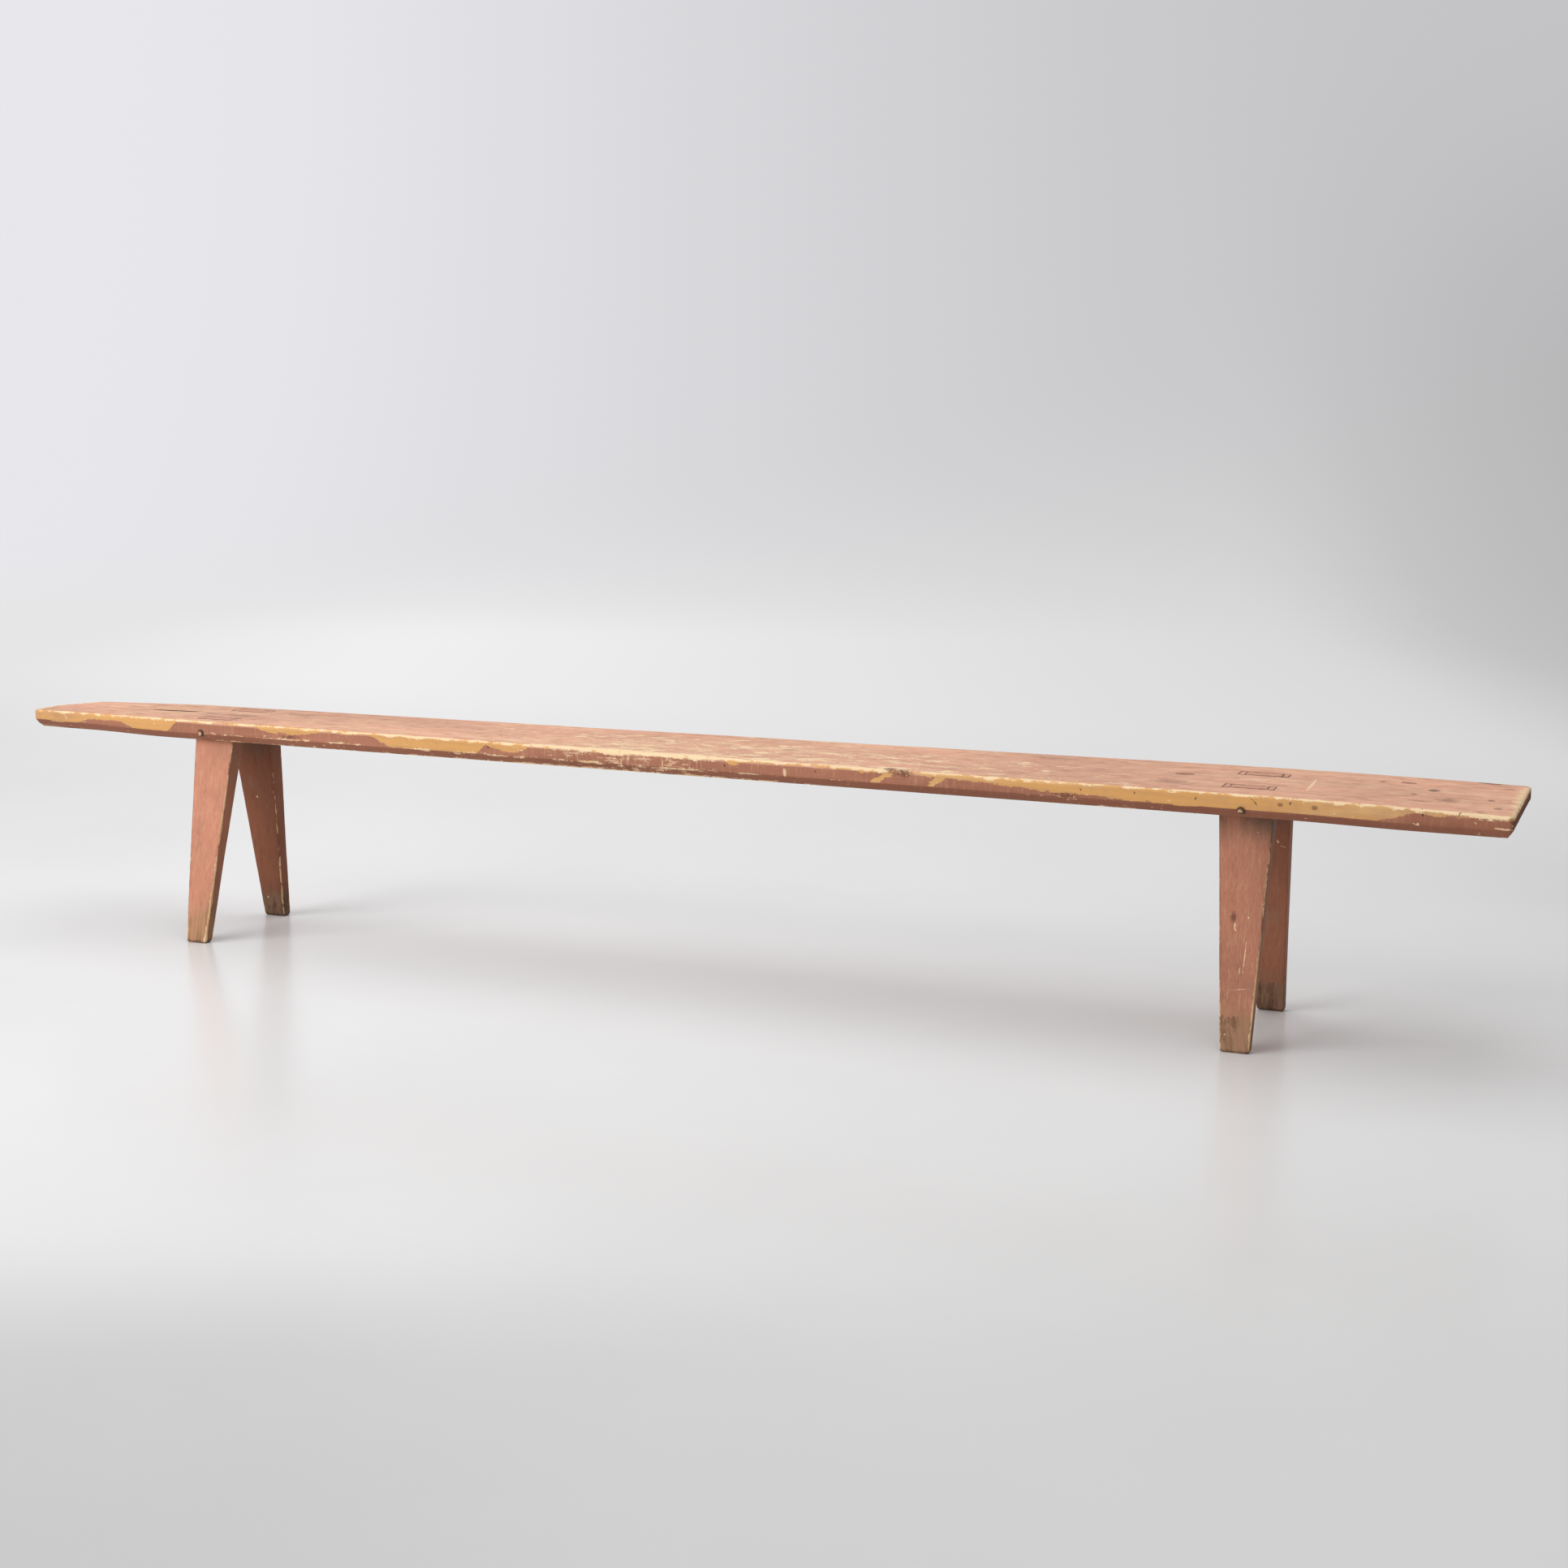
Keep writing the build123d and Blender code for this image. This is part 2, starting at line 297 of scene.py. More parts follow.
# ---- Seat plank ---------------------------------------------------------------------------------
CELLS_ALONG = 400
CELLS_ACROSS = 34
CELLS_CORNER = 8
CELLS_WANE = 4
CORNER_RADII = (0.008, 0.009, 0.008, 0.060, 0.030, 0.012)
# How much of the extra bevel at the narrow end also raises the bevel's upper line
NOSE_BEVEL_RISE = 0.45
# Play round a part that fits tightly
SNUG = 0.2 * MM
# How far the pegs' ends stand out of the seat's edges
PEG_PROUD = 1.5 * MM
# Just below the seat's top, where every tenon and wedge still has its full section
NEAR_TOP = SEAT_HIGH.z - 0.5 * MM


def plan_corners(sizes):
    """Sharp corners of the seat's plan, anticlockwise from the narrow end's front corner."""
    half = SEAT_HIGH.x
    narrow, wide = sizes.narrow_width / 2, sizes.wide_width / 2
    slope = (wide - narrow) / (2 * half)
    wane_x = -half + sizes.wane_length
    cut_x = -half + sizes.cut_length
    cut_y = narrow + slope * sizes.cut_length - sizes.wane_depth
    return np.array([
        (-half, -narrow),
        (half, -wide),
        (half, wide),
        (wane_x, narrow + slope * sizes.wane_length),
        (cut_x, cut_y),
        (-half, cut_y - sizes.cut_depth),
    ])


def moved_in(corners, inset):
    """The same outline with every side moved inwards by inset."""
    moved = []
    count = len(corners)
    for i in range(count):
        before, here, after = corners[i - 1], corners[i], corners[(i + 1) % count]
        first, second = here - before, after - here
        first, second = first / np.hypot(*first), second / np.hypot(*second)
        in_first, in_second = np.array((-first[1], first[0])), np.array((-second[1], second[0]))
        mitre = (in_first + in_second) / (1 + in_first @ in_second)
        moved.append(here + mitre * inset)
    return np.array(moved)


def corner_arc(before, here, after, radius, cells):
    """Points on the arc that rounds a corner, from its first tangent point to its last."""
    first, second = here - before, after - here
    first, second = first / np.hypot(*first), second / np.hypot(*second)
    turn = math.acos(np.clip(first @ second, -1, 1))
    reach = radius * math.tan(turn / 2)
    start = here - first * reach
    inward = np.array((-first[1], first[0]))
    centre = start + inward * radius
    heading = math.atan2(-inward[1], -inward[0])
    angles = heading + np.linspace(0, turn, cells + 1)
    return centre + radius * np.column_stack((np.cos(angles), np.sin(angles)))


def plan_ring(sizes, inset):
    """The seat's outline moved in by inset, with the same count of points for every inset.

    It starts in the middle of the narrow end's front corner and runs anticlockwise.
    """
    corners = moved_in(plan_corners(sizes), inset)
    cells = [CELLS_CORNER] * len(corners)
    cells[3] = CELLS_WANE
    arcs = []
    for i, radius in enumerate(CORNER_RADII):
        after = corners[(i + 1) % len(corners)]
        tight = max(radius - inset, 0.5 * MM)
        arcs.append(corner_arc(corners[i - 1], corners[i], after, tight, cells[i]))
    cells_wane_run = round(CELLS_ALONG * sizes.wane_length / (2 * SEAT_HIGH.x))
    cells_cut = round((CELLS_ACROSS - CELLS_CORNER) * 0.6)
    runs = (
        CELLS_ALONG,
        CELLS_ACROSS,
        CELLS_ALONG - CELLS_WANE - cells_wane_run,
        cells_wane_run,
        cells_cut,
        CELLS_ACROSS - CELLS_CORNER - cells_cut,
    )
    points = []
    for i, run in enumerate(runs):
        points += list(arcs[i])
        start, end = arcs[i][-1], arcs[(i + 1) % len(arcs)][0]
        points += [start + (end - start) * step / run for step in range(1, run)]
    return np.roll(np.array(points), -CELLS_CORNER // 2, axis=0)


def inwards(ring):
    """Unit vectors that point into the plank from each point of a ring."""
    along = np.roll(ring, -1, axis=0) - np.roll(ring, 1, axis=0)
    along /= np.hypot(along[:, 0], along[:, 1])[:, None]
    return np.column_stack((-along[:, 1], along[:, 0]))


def grid_inside(ring):
    """Points inside a ring, as rows from its front to its back, and the index of each."""
    wide, deep = CELLS_ALONG + CELLS_CORNER, CELLS_ACROSS + CELLS_CORNER
    count = len(ring)
    front = np.arange(0, wide + 1)
    right = np.arange(wide, wide + deep + 1)
    back = np.arange(2 * wide + deep, wide + deep - 1, -1)
    left = np.concatenate(([0], np.arange(count - 1, 2 * wide + deep - 1, -1)))
    u = np.linspace(0, 1, wide + 1)[:, None, None]
    v = np.linspace(0, 1, deep + 1)[None, :, None]
    sides = (1 - v) * ring[front][:, None] + v * ring[back][:, None]
    ends = (1 - u) * ring[left][None] + u * ring[right % count][None]
    low = (1 - u) * ring[front[0]] + u * ring[front[-1]]
    high = (1 - u) * ring[back[0]] + u * ring[back[-1]]
    patch = sides + ends - (1 - v) * low - v * high
    index = np.full((wide + 1, deep + 1), -1)
    index[:, 0], index[:, -1] = front, back
    index[0, :], index[-1, :] = left, right % count
    inner = index < 0
    index[inner] = count + np.arange(inner.sum())
    return patch[inner], index


def grid_faces(index, first_inner, ring_start, count):
    """Quads of a grid whose border is a ring and whose other points follow first_inner."""
    where = np.where(index < count, index + ring_start, index - count + first_inner)
    quads = np.stack((where[:-1, :-1], where[1:, :-1], where[1:, 1:], where[:-1, 1:]), axis=-1)
    return [tuple(int(i) for i in quad) for quad in quads.reshape(-1, 4)]


def top_height(sizes, x, y):
    """Height of the seat's worn top."""
    worn_from = SEAT_HIGH.x - sizes.worn_length
    worn = sizes.worn_drop * max(0, (x - worn_from) / sizes.worn_length) ** 2
    sat_hollow = 0.5 * MM * math.exp(-((x - 0.1) / 0.6) ** 2)
    planed = 0.18 * MM * (1 + wander(x, y * 3, pace=5, seed=3))
    return SEAT_HIGH.z - worn - sat_hollow - planed - 0.05 * MM


def under_height(sizes, x):
    """Height of the seat's underside: thinner at the narrow end, a little low at the wide one."""
    from_thick = sizes.thinned_length - SEAT_HIGH.x - x
    thin = sizes.thinned_rise * float(ease(from_thick, 0, 0.6 * sizes.thinned_length))
    sag = 3.0 * MM * float(ease(x, 1.12, 1.36))
    return SEAT_LOW.z + thin - sag


def seat_skin(sizes):
    """Points and faces of the plank: rings from its underside up to its top, and two grids."""
    outline = plan_ring(sizes, 0)
    inward = inwards(outline)
    corner = np.array([min(np.hypot(*(p - c)) for c in plan_corners(sizes)) for p in outline])
    plain = ease(corner, 0.012, 0.03)
    front = outline[:, 1] < 0
    xs = outline[:, 0]
    nose = ease(-xs, SEAT_HIGH.x - 0.09, SEAT_HIGH.x - 0.01)

    def along(pace, seed):
        return plain * np.array([wander(x, y, pace=pace, seed=seed) for x, y in outline])

    sat_on = np.exp(-((xs + 0.02) / 0.24) ** 2) * front
    uneven = 0.24 * along(3.1, 11) + 0.18 * along(19, 5) + 0.16 * along(70, 9)
    uneven = uneven + 0.45 * plain * sat_on
    radius = sizes.arris_radius * (1 + uneven)
    hollow = 0.25 * MM * (plain + along(2.3, 7)) + 0.14 * MM * (plain + along(40, 2))
    waver = 1.3 * MM * along(2.0, 31) + 0.5 * MM * along(14, 37) + 0.3 * MM * along(60, 39)
    bevel = sizes.bevel_height + waver + nose * sizes.nose_bevel * NOSE_BEVEL_RISE
    low = np.array([under_height(sizes, x) for x in xs])
    high = np.array([top_height(sizes, *p) for p in outline])

    def ring(inset, extra, heights, nose_inset=0.0):
        usual, at_nose = plan_ring(sizes, inset), plan_ring(sizes, inset + nose_inset)
        plan = usual + (at_nose - usual) * nose[:, None] + inward * (extra + hollow)[:, None]
        return at_height(plan, heights)

    depth = sizes.bevel_depth
    none = np.zeros(len(outline))
    ragged = 0.5 * MM * np.maximum(along(55, 71), 0)
    rings = [
        ring(depth + 7 * MM, none, low, sizes.nose_bevel),
        ring(depth + 0.7 * MM, ragged, low, sizes.nose_bevel),
        ring(depth - 0.3 * MM, ragged, low + 0.35 * MM, sizes.nose_bevel),
        ring(depth * 0.55, 0.15 * MM * along(9, 17), low + bevel * 0.45, sizes.nose_bevel * 0.5),
        ring(1.0 * MM, none, low + bevel - 1.3 * MM, 0.6 * MM),
        ring(0.15 * MM, none, low + bevel + 0.9 * MM, 0.2 * MM),
    ]
    edge_top = high - radius
    edge_low = low + bevel + 0.9 * MM
    for level in (0.33, 0.66, 0.93):
        bulge = 0.22 * MM * along(24, 50 + level) + 0.10 * MM * along(75, 80 + level)
        rings.append(ring(0, bulge - bulge.min(), edge_low + (edge_top - edge_low) * level))
    for angle in np.radians((12, 30, 48, 66, 80)):
        nominal = sizes.arris_radius * (1 - math.cos(angle))
        extra = sizes.arris_radius * uneven * (1 - math.cos(angle))
        heights = edge_top + radius * math.sin(angle)
        rings.append(ring(nominal, extra, heights))
    spread = sizes.arris_radius * uneven
    for inset, share_kept in ((0, 1.0), (3 * MM, 0.7), (8 * MM, 0.3)):
        plan = plan_ring(sizes, sizes.arris_radius + inset)
        plan = plan + inward * (spread * share_kept)[:, None]
        rings.append(at_height(plan, [top_height(sizes, *p) for p in plan]))

    points, faces = skin(rings, cap_first=False, cap_last=False)
    count = len(outline)
    for ring_start, height, flip in (
        (0, lambda x, y: under_height(sizes, x), True),
        (len(points) - count, lambda x, y: top_height(sizes, x, y), False),
    ):
        border = points[ring_start:ring_start + count, :2]
        inner, index = grid_inside(border)
        quads = grid_faces(index, len(points), ring_start, count)
        faces += [quad[::-1] for quad in quads] if flip else quads
        points = np.concatenate((points, at_height(inner, [height(x, y) for x, y in inner])))
    return points, faces


def mortise_form(sizes, end):
    """The slanted hole that one tenon and its wedges fill, a little open at the top."""
    wedges = [f"wedge_{end}_{which}" for which in ("outer", "inner")]
    tenon = taper(f"leg_{end}", SEAT_LOW.z + 1 * MM, SEAT_HIGH.z - 1 * MM)
    outer_x = [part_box(node)[0].x for node in wedges] + [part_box(node)[1].x for node in wedges]
    rings = []
    for z, gap in (
        (SEAT_LOW.z - 8 * MM, SNUG),
        (SEAT_HIGH.z - 3.5 * MM, SNUG),
        (SEAT_HIGH.z - 1.2 * MM, sizes.joint_gap * 0.6),
        (SEAT_HIGH.z + 0.5 * MM, sizes.joint_gap * 1.5),
        (SEAT_HIGH.z + 5 * MM, sizes.joint_gap * 1.5),
    ):
        _, _, y0, y1 = tenon(z)
        sides = (min(outer_x) - gap, max(outer_x) + gap, y0 - gap, y1 + gap)
        rings.append(at_height(rounded_rectangle(sides, [0.4 * MM] * 4, (8, 3), 2), z))
    return skin(rings)


def round_form(centre_x, centre_z, stations, sides=28):
    """A round form along Y through stations of y, radius, and shift in x and z."""
    angles = np.linspace(0, 2 * math.pi, sides, endpoint=False)
    rings = []
    for y, radius, shift_x, shift_z in stations:
        rings.append(np.column_stack((
            centre_x + shift_x + radius * np.cos(angles),
            np.full(sides, y),
            centre_z + shift_z + radius * np.sin(angles),
        )))
    return skin(rings)


def peg_hole_form(sizes, end):
    """The hole for one peg, funnelled and a little lopsided at its mouth."""
    low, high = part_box(f"peg_{end}")
    side = -1 if "front" in end else 1
    outer, inner = (low.y, high.y) if side < 0 else (high.y, low.y)
    edge = outer - side * PEG_PROUD
    radius = (high.x - low.x) / 2 + SNUG
    lop_x, lop_z = (0.9 * MM, 1.0 * MM) if "right" in end else (1.0 * MM, 0.1 * MM)
    wide = radius + sizes.peg_gap * (1.2 if "right" in end else 0.9)
    return round_form((low.x + high.x) / 2, (low.z + high.z) / 2, (
        (edge + side * 9 * MM, wide, lop_x, lop_z),
        (edge, wide, lop_x, lop_z),
        (edge - side * 2.6 * MM, radius, 0, 0),
        (inner - side * SNUG, radius, 0, 0),
    ))


def split_form(start, end, width, depth, seed, surface):
    """A split in the wood: widest in its middle, running out to nothing, V-shaped below."""
    start, end = np.array(start), np.array(end)
    run = end - start
    across = np.array((-run[1], run[0])) / np.hypot(*run)
    rings = []
    for step in np.linspace(0.02, 0.98, 15):
        body = math.sin(math.pi * step) ** 0.6
        middle = start + run * step + across * width * 0.5 * wander(step, pace=4, seed=seed)
        half = width / 2 * body * (1 + 0.3 * wander(step, pace=9, seed=seed + 4))
        top = surface + 4 * MM
        rings.append(np.array([
            (*(middle - across * half * 1.3), top),
            (*(middle + across * half * 1.3), top),
            (*(middle + across * half), surface - 0.5 * MM),
            (*(middle + across * half * 0.2), surface - depth * body),
            (*(middle - across * half * 0.2), surface - depth * body),
            (*(middle - across * half), surface - 0.5 * MM),
        ]))
    return skin(rings)


def worn_split_form(start, end, reach, step, depth, seed, surface):
    """A split whose near lip has worn down, so that its far wall stands up over a shallow slope."""
    start, end = np.array(start), np.array(end)
    run = end - start
    across = np.array((-run[1], run[0])) / np.hypot(*run)
    rings = []
    for part in np.linspace(0.02, 0.98, 21):
        body = math.sin(math.pi * part) ** 0.55
        middle = start + run * part + across * 1.4 * MM * wander(part, pace=5, seed=seed)
        near = -reach * body * (1 + 0.25 * wander(part, pace=6, seed=seed + 3))
        wall = 0.9 * MM * body
        profile = (
            (near, 0.4 * MM), (near, 5 * MM), (wall, 5 * MM), (wall, -depth * body),
            (-wall, -depth * body), (-wall * 1.6, -step * body),
        )
        rings.append(np.array([(*(middle + across * off), surface + up) for off, up in profile]))
    return skin(rings)


def chip_form(centre, size, seed):
    """A shallow flake: a ragged flattened ball set partly into the arris."""
    work = bmesh.new()
    bmesh.ops.create_icosphere(work, subdivisions=2, radius=1)
    points = np.array([v.co for v in work.verts])
    faces = [tuple(v.index for v in f.verts) for f in work.faces]
    work.free()
    rough = np.array([1 + 0.22 * wander(*p, pace=1.7, seed=seed) for p in points])
    return np.array(centre) + points * rough[:, None] * np.array(size), faces


def edge_point(sizes, x, drop=0.0):
    """A point on the front arris of the seat at x."""
    share_along = (x + SEAT_HIGH.x) / (2 * SEAT_HIGH.x)
    half = (sizes.narrow_width + (sizes.wide_width - sizes.narrow_width) * share_along) / 2
    return x, -half, top_height(sizes, x, -half) - drop


# Flakes out of the front arris: x, length, how deep each bites
FRONT_CHIPS = (
    (-0.186, 0.014, 1.5), (-0.058, 0.020, 1.8), (0.045, 0.016, 1.6), (0.112, 0.026, 2.4),
    (0.398, 0.018, 1.6), (0.448, 0.030, 2.6), (0.775, 0.010, 1.5), (1.140, 0.009, 1.4),
    (1.285, 0.012, 1.6), (1.352, 0.011, 1.9), (1.418, 0.014, 1.7), (1.462, 0.010, 2.0),
)
# Splits in the top: start, end, width, depth, seed
SEAT_SPLITS = (
    ((-1.345, -0.020), (-1.285, -0.014), 1.6 * MM, 4 * MM, 8),
    ((-1.010, -0.046), (-0.950, -0.040), 1.5 * MM, 4 * MM, 5),
)
# The long split, worn open: start, end, how far the wear reaches and goes down, depth, seed
WORN_SPLIT = ((-1.272, -0.002), (-1.150, 0.009), 11 * MM, 3.0 * MM, 10 * MM, 2)
# The broken right front corner: how far its middle lies from the plank's corner, and its size
BROKEN_CORNER = ((1 * MM, -0.5 * MM, -10 * MM), (9 * MM, 8 * MM, 12 * MM))


class SeatPlank(bpy.types.Operator):
    """Make the seat: a tapering, hand-planed plank, morticed and bored for the legs and pegs"""

    bl_idname = "bench.seat_plank"
    bl_label = "Seat plank"

    def execute(self, context):
        sizes = context.scene.bench_sizes
        piece = piece_from("plank", *seat_skin(sizes))
        forms = [mortise_form(sizes, end) for end in ENDS]
        forms += [peg_hole_form(sizes, end) for end in ENDS]
        forms.append(worn_split_form(*WORN_SPLIT, SEAT_HIGH.z))
        forms += [split_form(*split, SEAT_HIGH.z) for split in SEAT_SPLITS]
        for i, (x, run, bite) in enumerate(FRONT_CHIPS):
            centre = edge_point(sizes, x, drop=-1.2 * MM)
            forms.append(chip_form(centre, (run / 2, bite * 2.3 * MM, bite * 1.7 * MM), 20 + i))
        (off_x, off_y, off_z), size = BROKEN_CORNER
        corner = (SEAT_HIGH.x + off_x, SEAT_LOW.y + off_y, SEAT_HIGH.z + off_z)
        forms.append(chip_form(corner, size, 61))
        cut_away(piece, forms)
        mark_seat(sizes, piece)
        finish_piece(piece, "seat_plank", seat_material(context.scene.bench_finish))
        return {"FINISHED"}


# How far down the front edge the ochre coat shows, from 0 at the arris to 1 at the bevel: x, reach
OCHRE_REACH = (
    (-1.500, 1.1), (-1.400, 1.1), (-1.384, 0.95), (-1.368, 0.52), (-1.320, 0.44), (-1.270, 0.46),
    (-1.256, 0.85), (-1.240, 1.05), (-1.160, 1.0), (-1.147, 0.6), (-1.136, 0.02), (-0.960, 0.02),
    (-0.935, 0.18), (-0.900, 0.48), (-0.860, 0.52), (-0.820, 0.42), (-0.790, 0.10), (-0.700, 0.05),
    (-0.668, 0.08), (-0.655, 0.35), (-0.640, 0.75), (-0.618, 1.0), (-0.580, 1.1), (-0.450, 1.1),
    (-0.430, 0.9), (-0.416, 0.5), (-0.410, 0.18), (-0.402, 0.40), (-0.375, 0.62), (-0.350, 0.66),
    (-0.332, 0.48), (-0.316, 0.12), (-0.290, 0.02), (0.094, 0.02), (0.104, 0.34), (0.121, 0.36),
    (0.130, 0.02), (0.345, 0.02), (0.362, 0.16), (0.420, 0.26), (0.428, 0.0), (0.478, 0.0),
    (0.488, 0.20), (0.530, 0.22), (0.580, 0.28), (0.620, 0.40), (0.665, 0.56), (0.720, 0.70),
    (0.770, 0.72), (0.835, 0.84), (0.880, 0.95), (0.910, 1.1), (1.270, 1.1), (1.293, 0.95),
    (1.310, 0.65), (1.326, 0.42), (1.345, 0.22), (1.400, 0.16), (1.500, 0.12),
)
# Slanting tongues of ochre: x and reach at their lower end, x and reach at their upper one, width
OCHRE_TONGUES = ((0.391, 0.92, 0.420, 0.05, 14 * MM), (0.499, 0.90, 0.520, 0.10, 13 * MM))
# Scrubbed band on the front arris: x, how far down from the arris and how far onto the top, in mm
CREAM_BAND = (
    (-1.500, 0.4, 2.5), (-1.400, 0.8, 3.0), (-1.300, 1.2, 3.0), (-1.150, 1.5, 2.5),
    (-1.000, 1.2, 2.0), (-0.930, 1.5, 2.5), (-0.800, 1.5, 3.0), (-0.660, 1.5, 3.0),
    (-0.600, 2.0, 4.0), (-0.420, 2.0, 4.0), (-0.400, 1.5, 3.0), (-0.330, 1.2, 3.0),
    (-0.260, 2.5, 6.0), (-0.200, 5.0, 15.0), (-0.120, 6.5, 24.0), (-0.030, 5.0, 20.0),
    (0.060, 4.5, 15.0), (0.100, 3.0, 8.0), (0.140, 1.0, 4.0), (0.330, 1.0, 3.5),
    (0.360, 3.0, 5.0), (0.418, 3.0, 5.0), (0.430, -3.0, -3.0), (0.474, -3.0, -3.0),
    (0.490, 1.5, 5.0), (0.600, 1.5, 5.0), (0.800, 0.8, 3.5), (0.950, 0.8, 3.5),
    (1.100, 0.8, 3.5), (1.200, 1.2, 5.0), (1.300, 1.6, 6.5), (1.420, 2.0, 8.0),
    (1.500, 3.0, 9.0),
)
# How much of the paint on the top has been rubbed through: x, share
RUBBED = (
    (-1.50, 0.25), (-1.30, 0.30), (-1.10, 0.25), (-0.90, 0.20), (-0.60, 0.30),
    (-0.45, 0.65), (-0.30, 0.95), (-0.10, 1.10), (0.20, 1.10), (0.45, 1.00),
    (0.60, 0.80), (0.80, 0.60), (0.95, 0.30), (1.20, 0.05), (1.50, 0.20),
)
# How much the bevel's two edges have been knocked: x, share
KNOCKED = (
    (-1.50, 0.2), (-1.15, 0.2), (-1.05, 0.7), (-0.65, 0.7), (-0.50, 0.9),
    (-0.30, 1.0), (0.15, 1.0), (0.30, 0.5), (0.60, 0.25), (0.72, 0.6),
    (0.92, 0.5), (1.00, 0.0), (1.43, 0.0), (1.47, 0.3), (1.50, 0.7),
)
# The height of the edge's face, which puts a tongue's reach and its x on one scale
TONGUE_FACE = 0.02


def mark_seat(sizes, piece):
    """Stores where on the seat paint, ochre, bare arris, bevel and underside belong, and the
    painted shade at its ends.
    """
    points = points_of(piece)
    x, y, z = points.T
    corners = plan_corners(sizes)
    depths = []
    for here, after in zip(corners, np.roll(corners, -1, axis=0)):
        run = (after - here) / np.hypot(*(after - here))
        depths.append((points[:, 0] - here[0]) * -run[1] + (points[:, 1] - here[1]) * run[0])
    depths = np.array(depths)
    depth = depths.min(axis=0)
    side = depths.argmin(axis=0)
    on_front = depths[0] < depths[1:].min(axis=0) + 2 * MM
    nose = ease(-x, SEAT_HIGH.x - 0.07, SEAT_HIGH.x - 0.015)
    on_tip = (side >= 4) & ~on_front

    top = np.array([top_height(sizes, px, py) for px, py in points[:, :2]])
    low = np.array([under_height(sizes, px) for px in x])
    bevel_line = low + sizes.bevel_height + nose * sizes.nose_bevel * NOSE_BEVEL_RISE
    radius = sizes.arris_radius
    face = np.maximum(top - radius * 0.7 - bevel_line, MM)
    down = (top - radius * 0.7 - z) / face

    reach = np.interp(x, *np.array(OCHRE_REACH).T)
    reach = np.where(on_front, reach, np.where(on_tip, 1.05, 0.12))
    ochre = (reach - down) * face
    for x0, reach0, x1, reach1, width in OCHRE_TONGUES:
        start = np.array((x0, reach0 * TONGUE_FACE))
        run = np.array((x1 - x0, (reach1 - reach0) * TONGUE_FACE))
        offset = np.column_stack((x, down * TONGUE_FACE)) - start
        part = np.clip(offset @ run / (run @ run), 0, 1)
        away = np.hypot(*(offset - part[:, None] * run).T)
        ochre = np.where(on_front, np.maximum(ochre, width / 2 - away), ochre)
    ochre_depth = 7 * MM + nose * 9 * MM
    ochre = np.where((depth < ochre_depth) & (z > bevel_line - 1 * MM), ochre, -0.05)

    turn = np.arctan2(np.maximum(z - (top - radius), 0), np.maximum(radius - depth, 1e-6))
    over = radius * (turn - math.pi / 4)
    over = np.where(depth > radius, depth - radius * (1 - math.pi / 4), over)
    over = np.where(z < top - radius, z - (top - radius) - radius * math.pi / 4, over)
    bands = np.array(CREAM_BAND)
    where = (on_front, on_tip, side == 1)
    band_down = np.select(where, (np.interp(x, bands[:, 0], bands[:, 1]), 2.0, 1.5), 1.0)
    band_up = np.select(where, (np.interp(x, bands[:, 0], bands[:, 2]), 9.0, 4.0), 1.5)
    frays = [wander(px, pace=16, seed=41) + wander(px, pace=47, seed=43) for px in x]
    frayed = 1 + 0.55 * np.array(frays)
    cream = np.minimum(over + band_down * MM * frayed, band_up * MM * frayed - over)
    wide_corner = 3.2 * MM - np.hypot(np.maximum(depths[0], 0), np.maximum(depths[1], 0))
    cream = np.maximum(cream, wide_corner)

    mark(piece, "ochre", np.clip(ochre / (10 * MM), -3, 3))
    mark(piece, "cream_band", np.clip(cream / (10 * MM), -3, 0.42))
    mark(piece, "side_face", ease(top - z, 4 * MM, 7 * MM))
    # Painted shade: the front face near the wide end takes the bevel's deep paint
    shaded_end_face = 0.68 * ease(x, 1.27, 1.35) * on_front * ease(top - z, 4 * MM, 7 * MM)
    mark(piece, "bevel", np.maximum(ease(bevel_line - z, -1.0 * MM, 1.2 * MM), shaded_end_face))
    # Painted shade on the ochre at the narrow tip and toward the wide end
    shaded_wide_end = 0.35 * ease(x, 1.05, 1.15) + 0.4 * ease(x, 1.26, 1.34)
    mark(piece, "shaded_ends", np.maximum(0.8 * ease(-x, 1.34, 1.42), shaded_wide_end))
    mark(piece, "underside", ease(depth, 9 * MM, 13 * MM) * ease(top - z, 15 * MM, 25 * MM))
    wide_end = ease(8 * MM - depths[1], 0, 6 * MM) * ease(top - z, 3 * MM, 7 * MM)
    mark(piece, "wide_end", wide_end * ease(depths[0], 1 * MM, 5 * MM))
    on_top = ease(top - z, 4 * MM, 0)
    across = np.clip(depths[0] / np.maximum(depths[0] + np.maximum(depths[2], 0), MM), 0, 1)
    near_front = 1 + 0.25 * np.exp(-np.maximum(depths[0], 0) / 0.025)
    near_front = near_front * (1 - 0.62 * ease(across, 0.55, 0.9))
    mark(piece, "rubbed", np.interp(x, *np.array(RUBBED).T) * near_front * on_top)
    worn_tip = ease(x, 1.466, 1.498) * ease(-np.abs(y - 0.035), -0.135, -0.090)
    mark(piece, "worn_tip", worn_tip * on_top)
    mark(piece, "scuffed", np.exp(-((x + 0.10) / 0.23) ** 2) * on_front)
    ledges = np.maximum(1 - np.abs(z - bevel_line) / (2.6 * MM), 1 - (z - low) / (2.6 * MM))
    knocked = np.where(on_front, np.interp(x, *np.array(KNOCKED).T), 0.4)
    mark(piece, "ledge", np.clip(ledges, 0, 1) * knocked * (depth < 16 * MM))


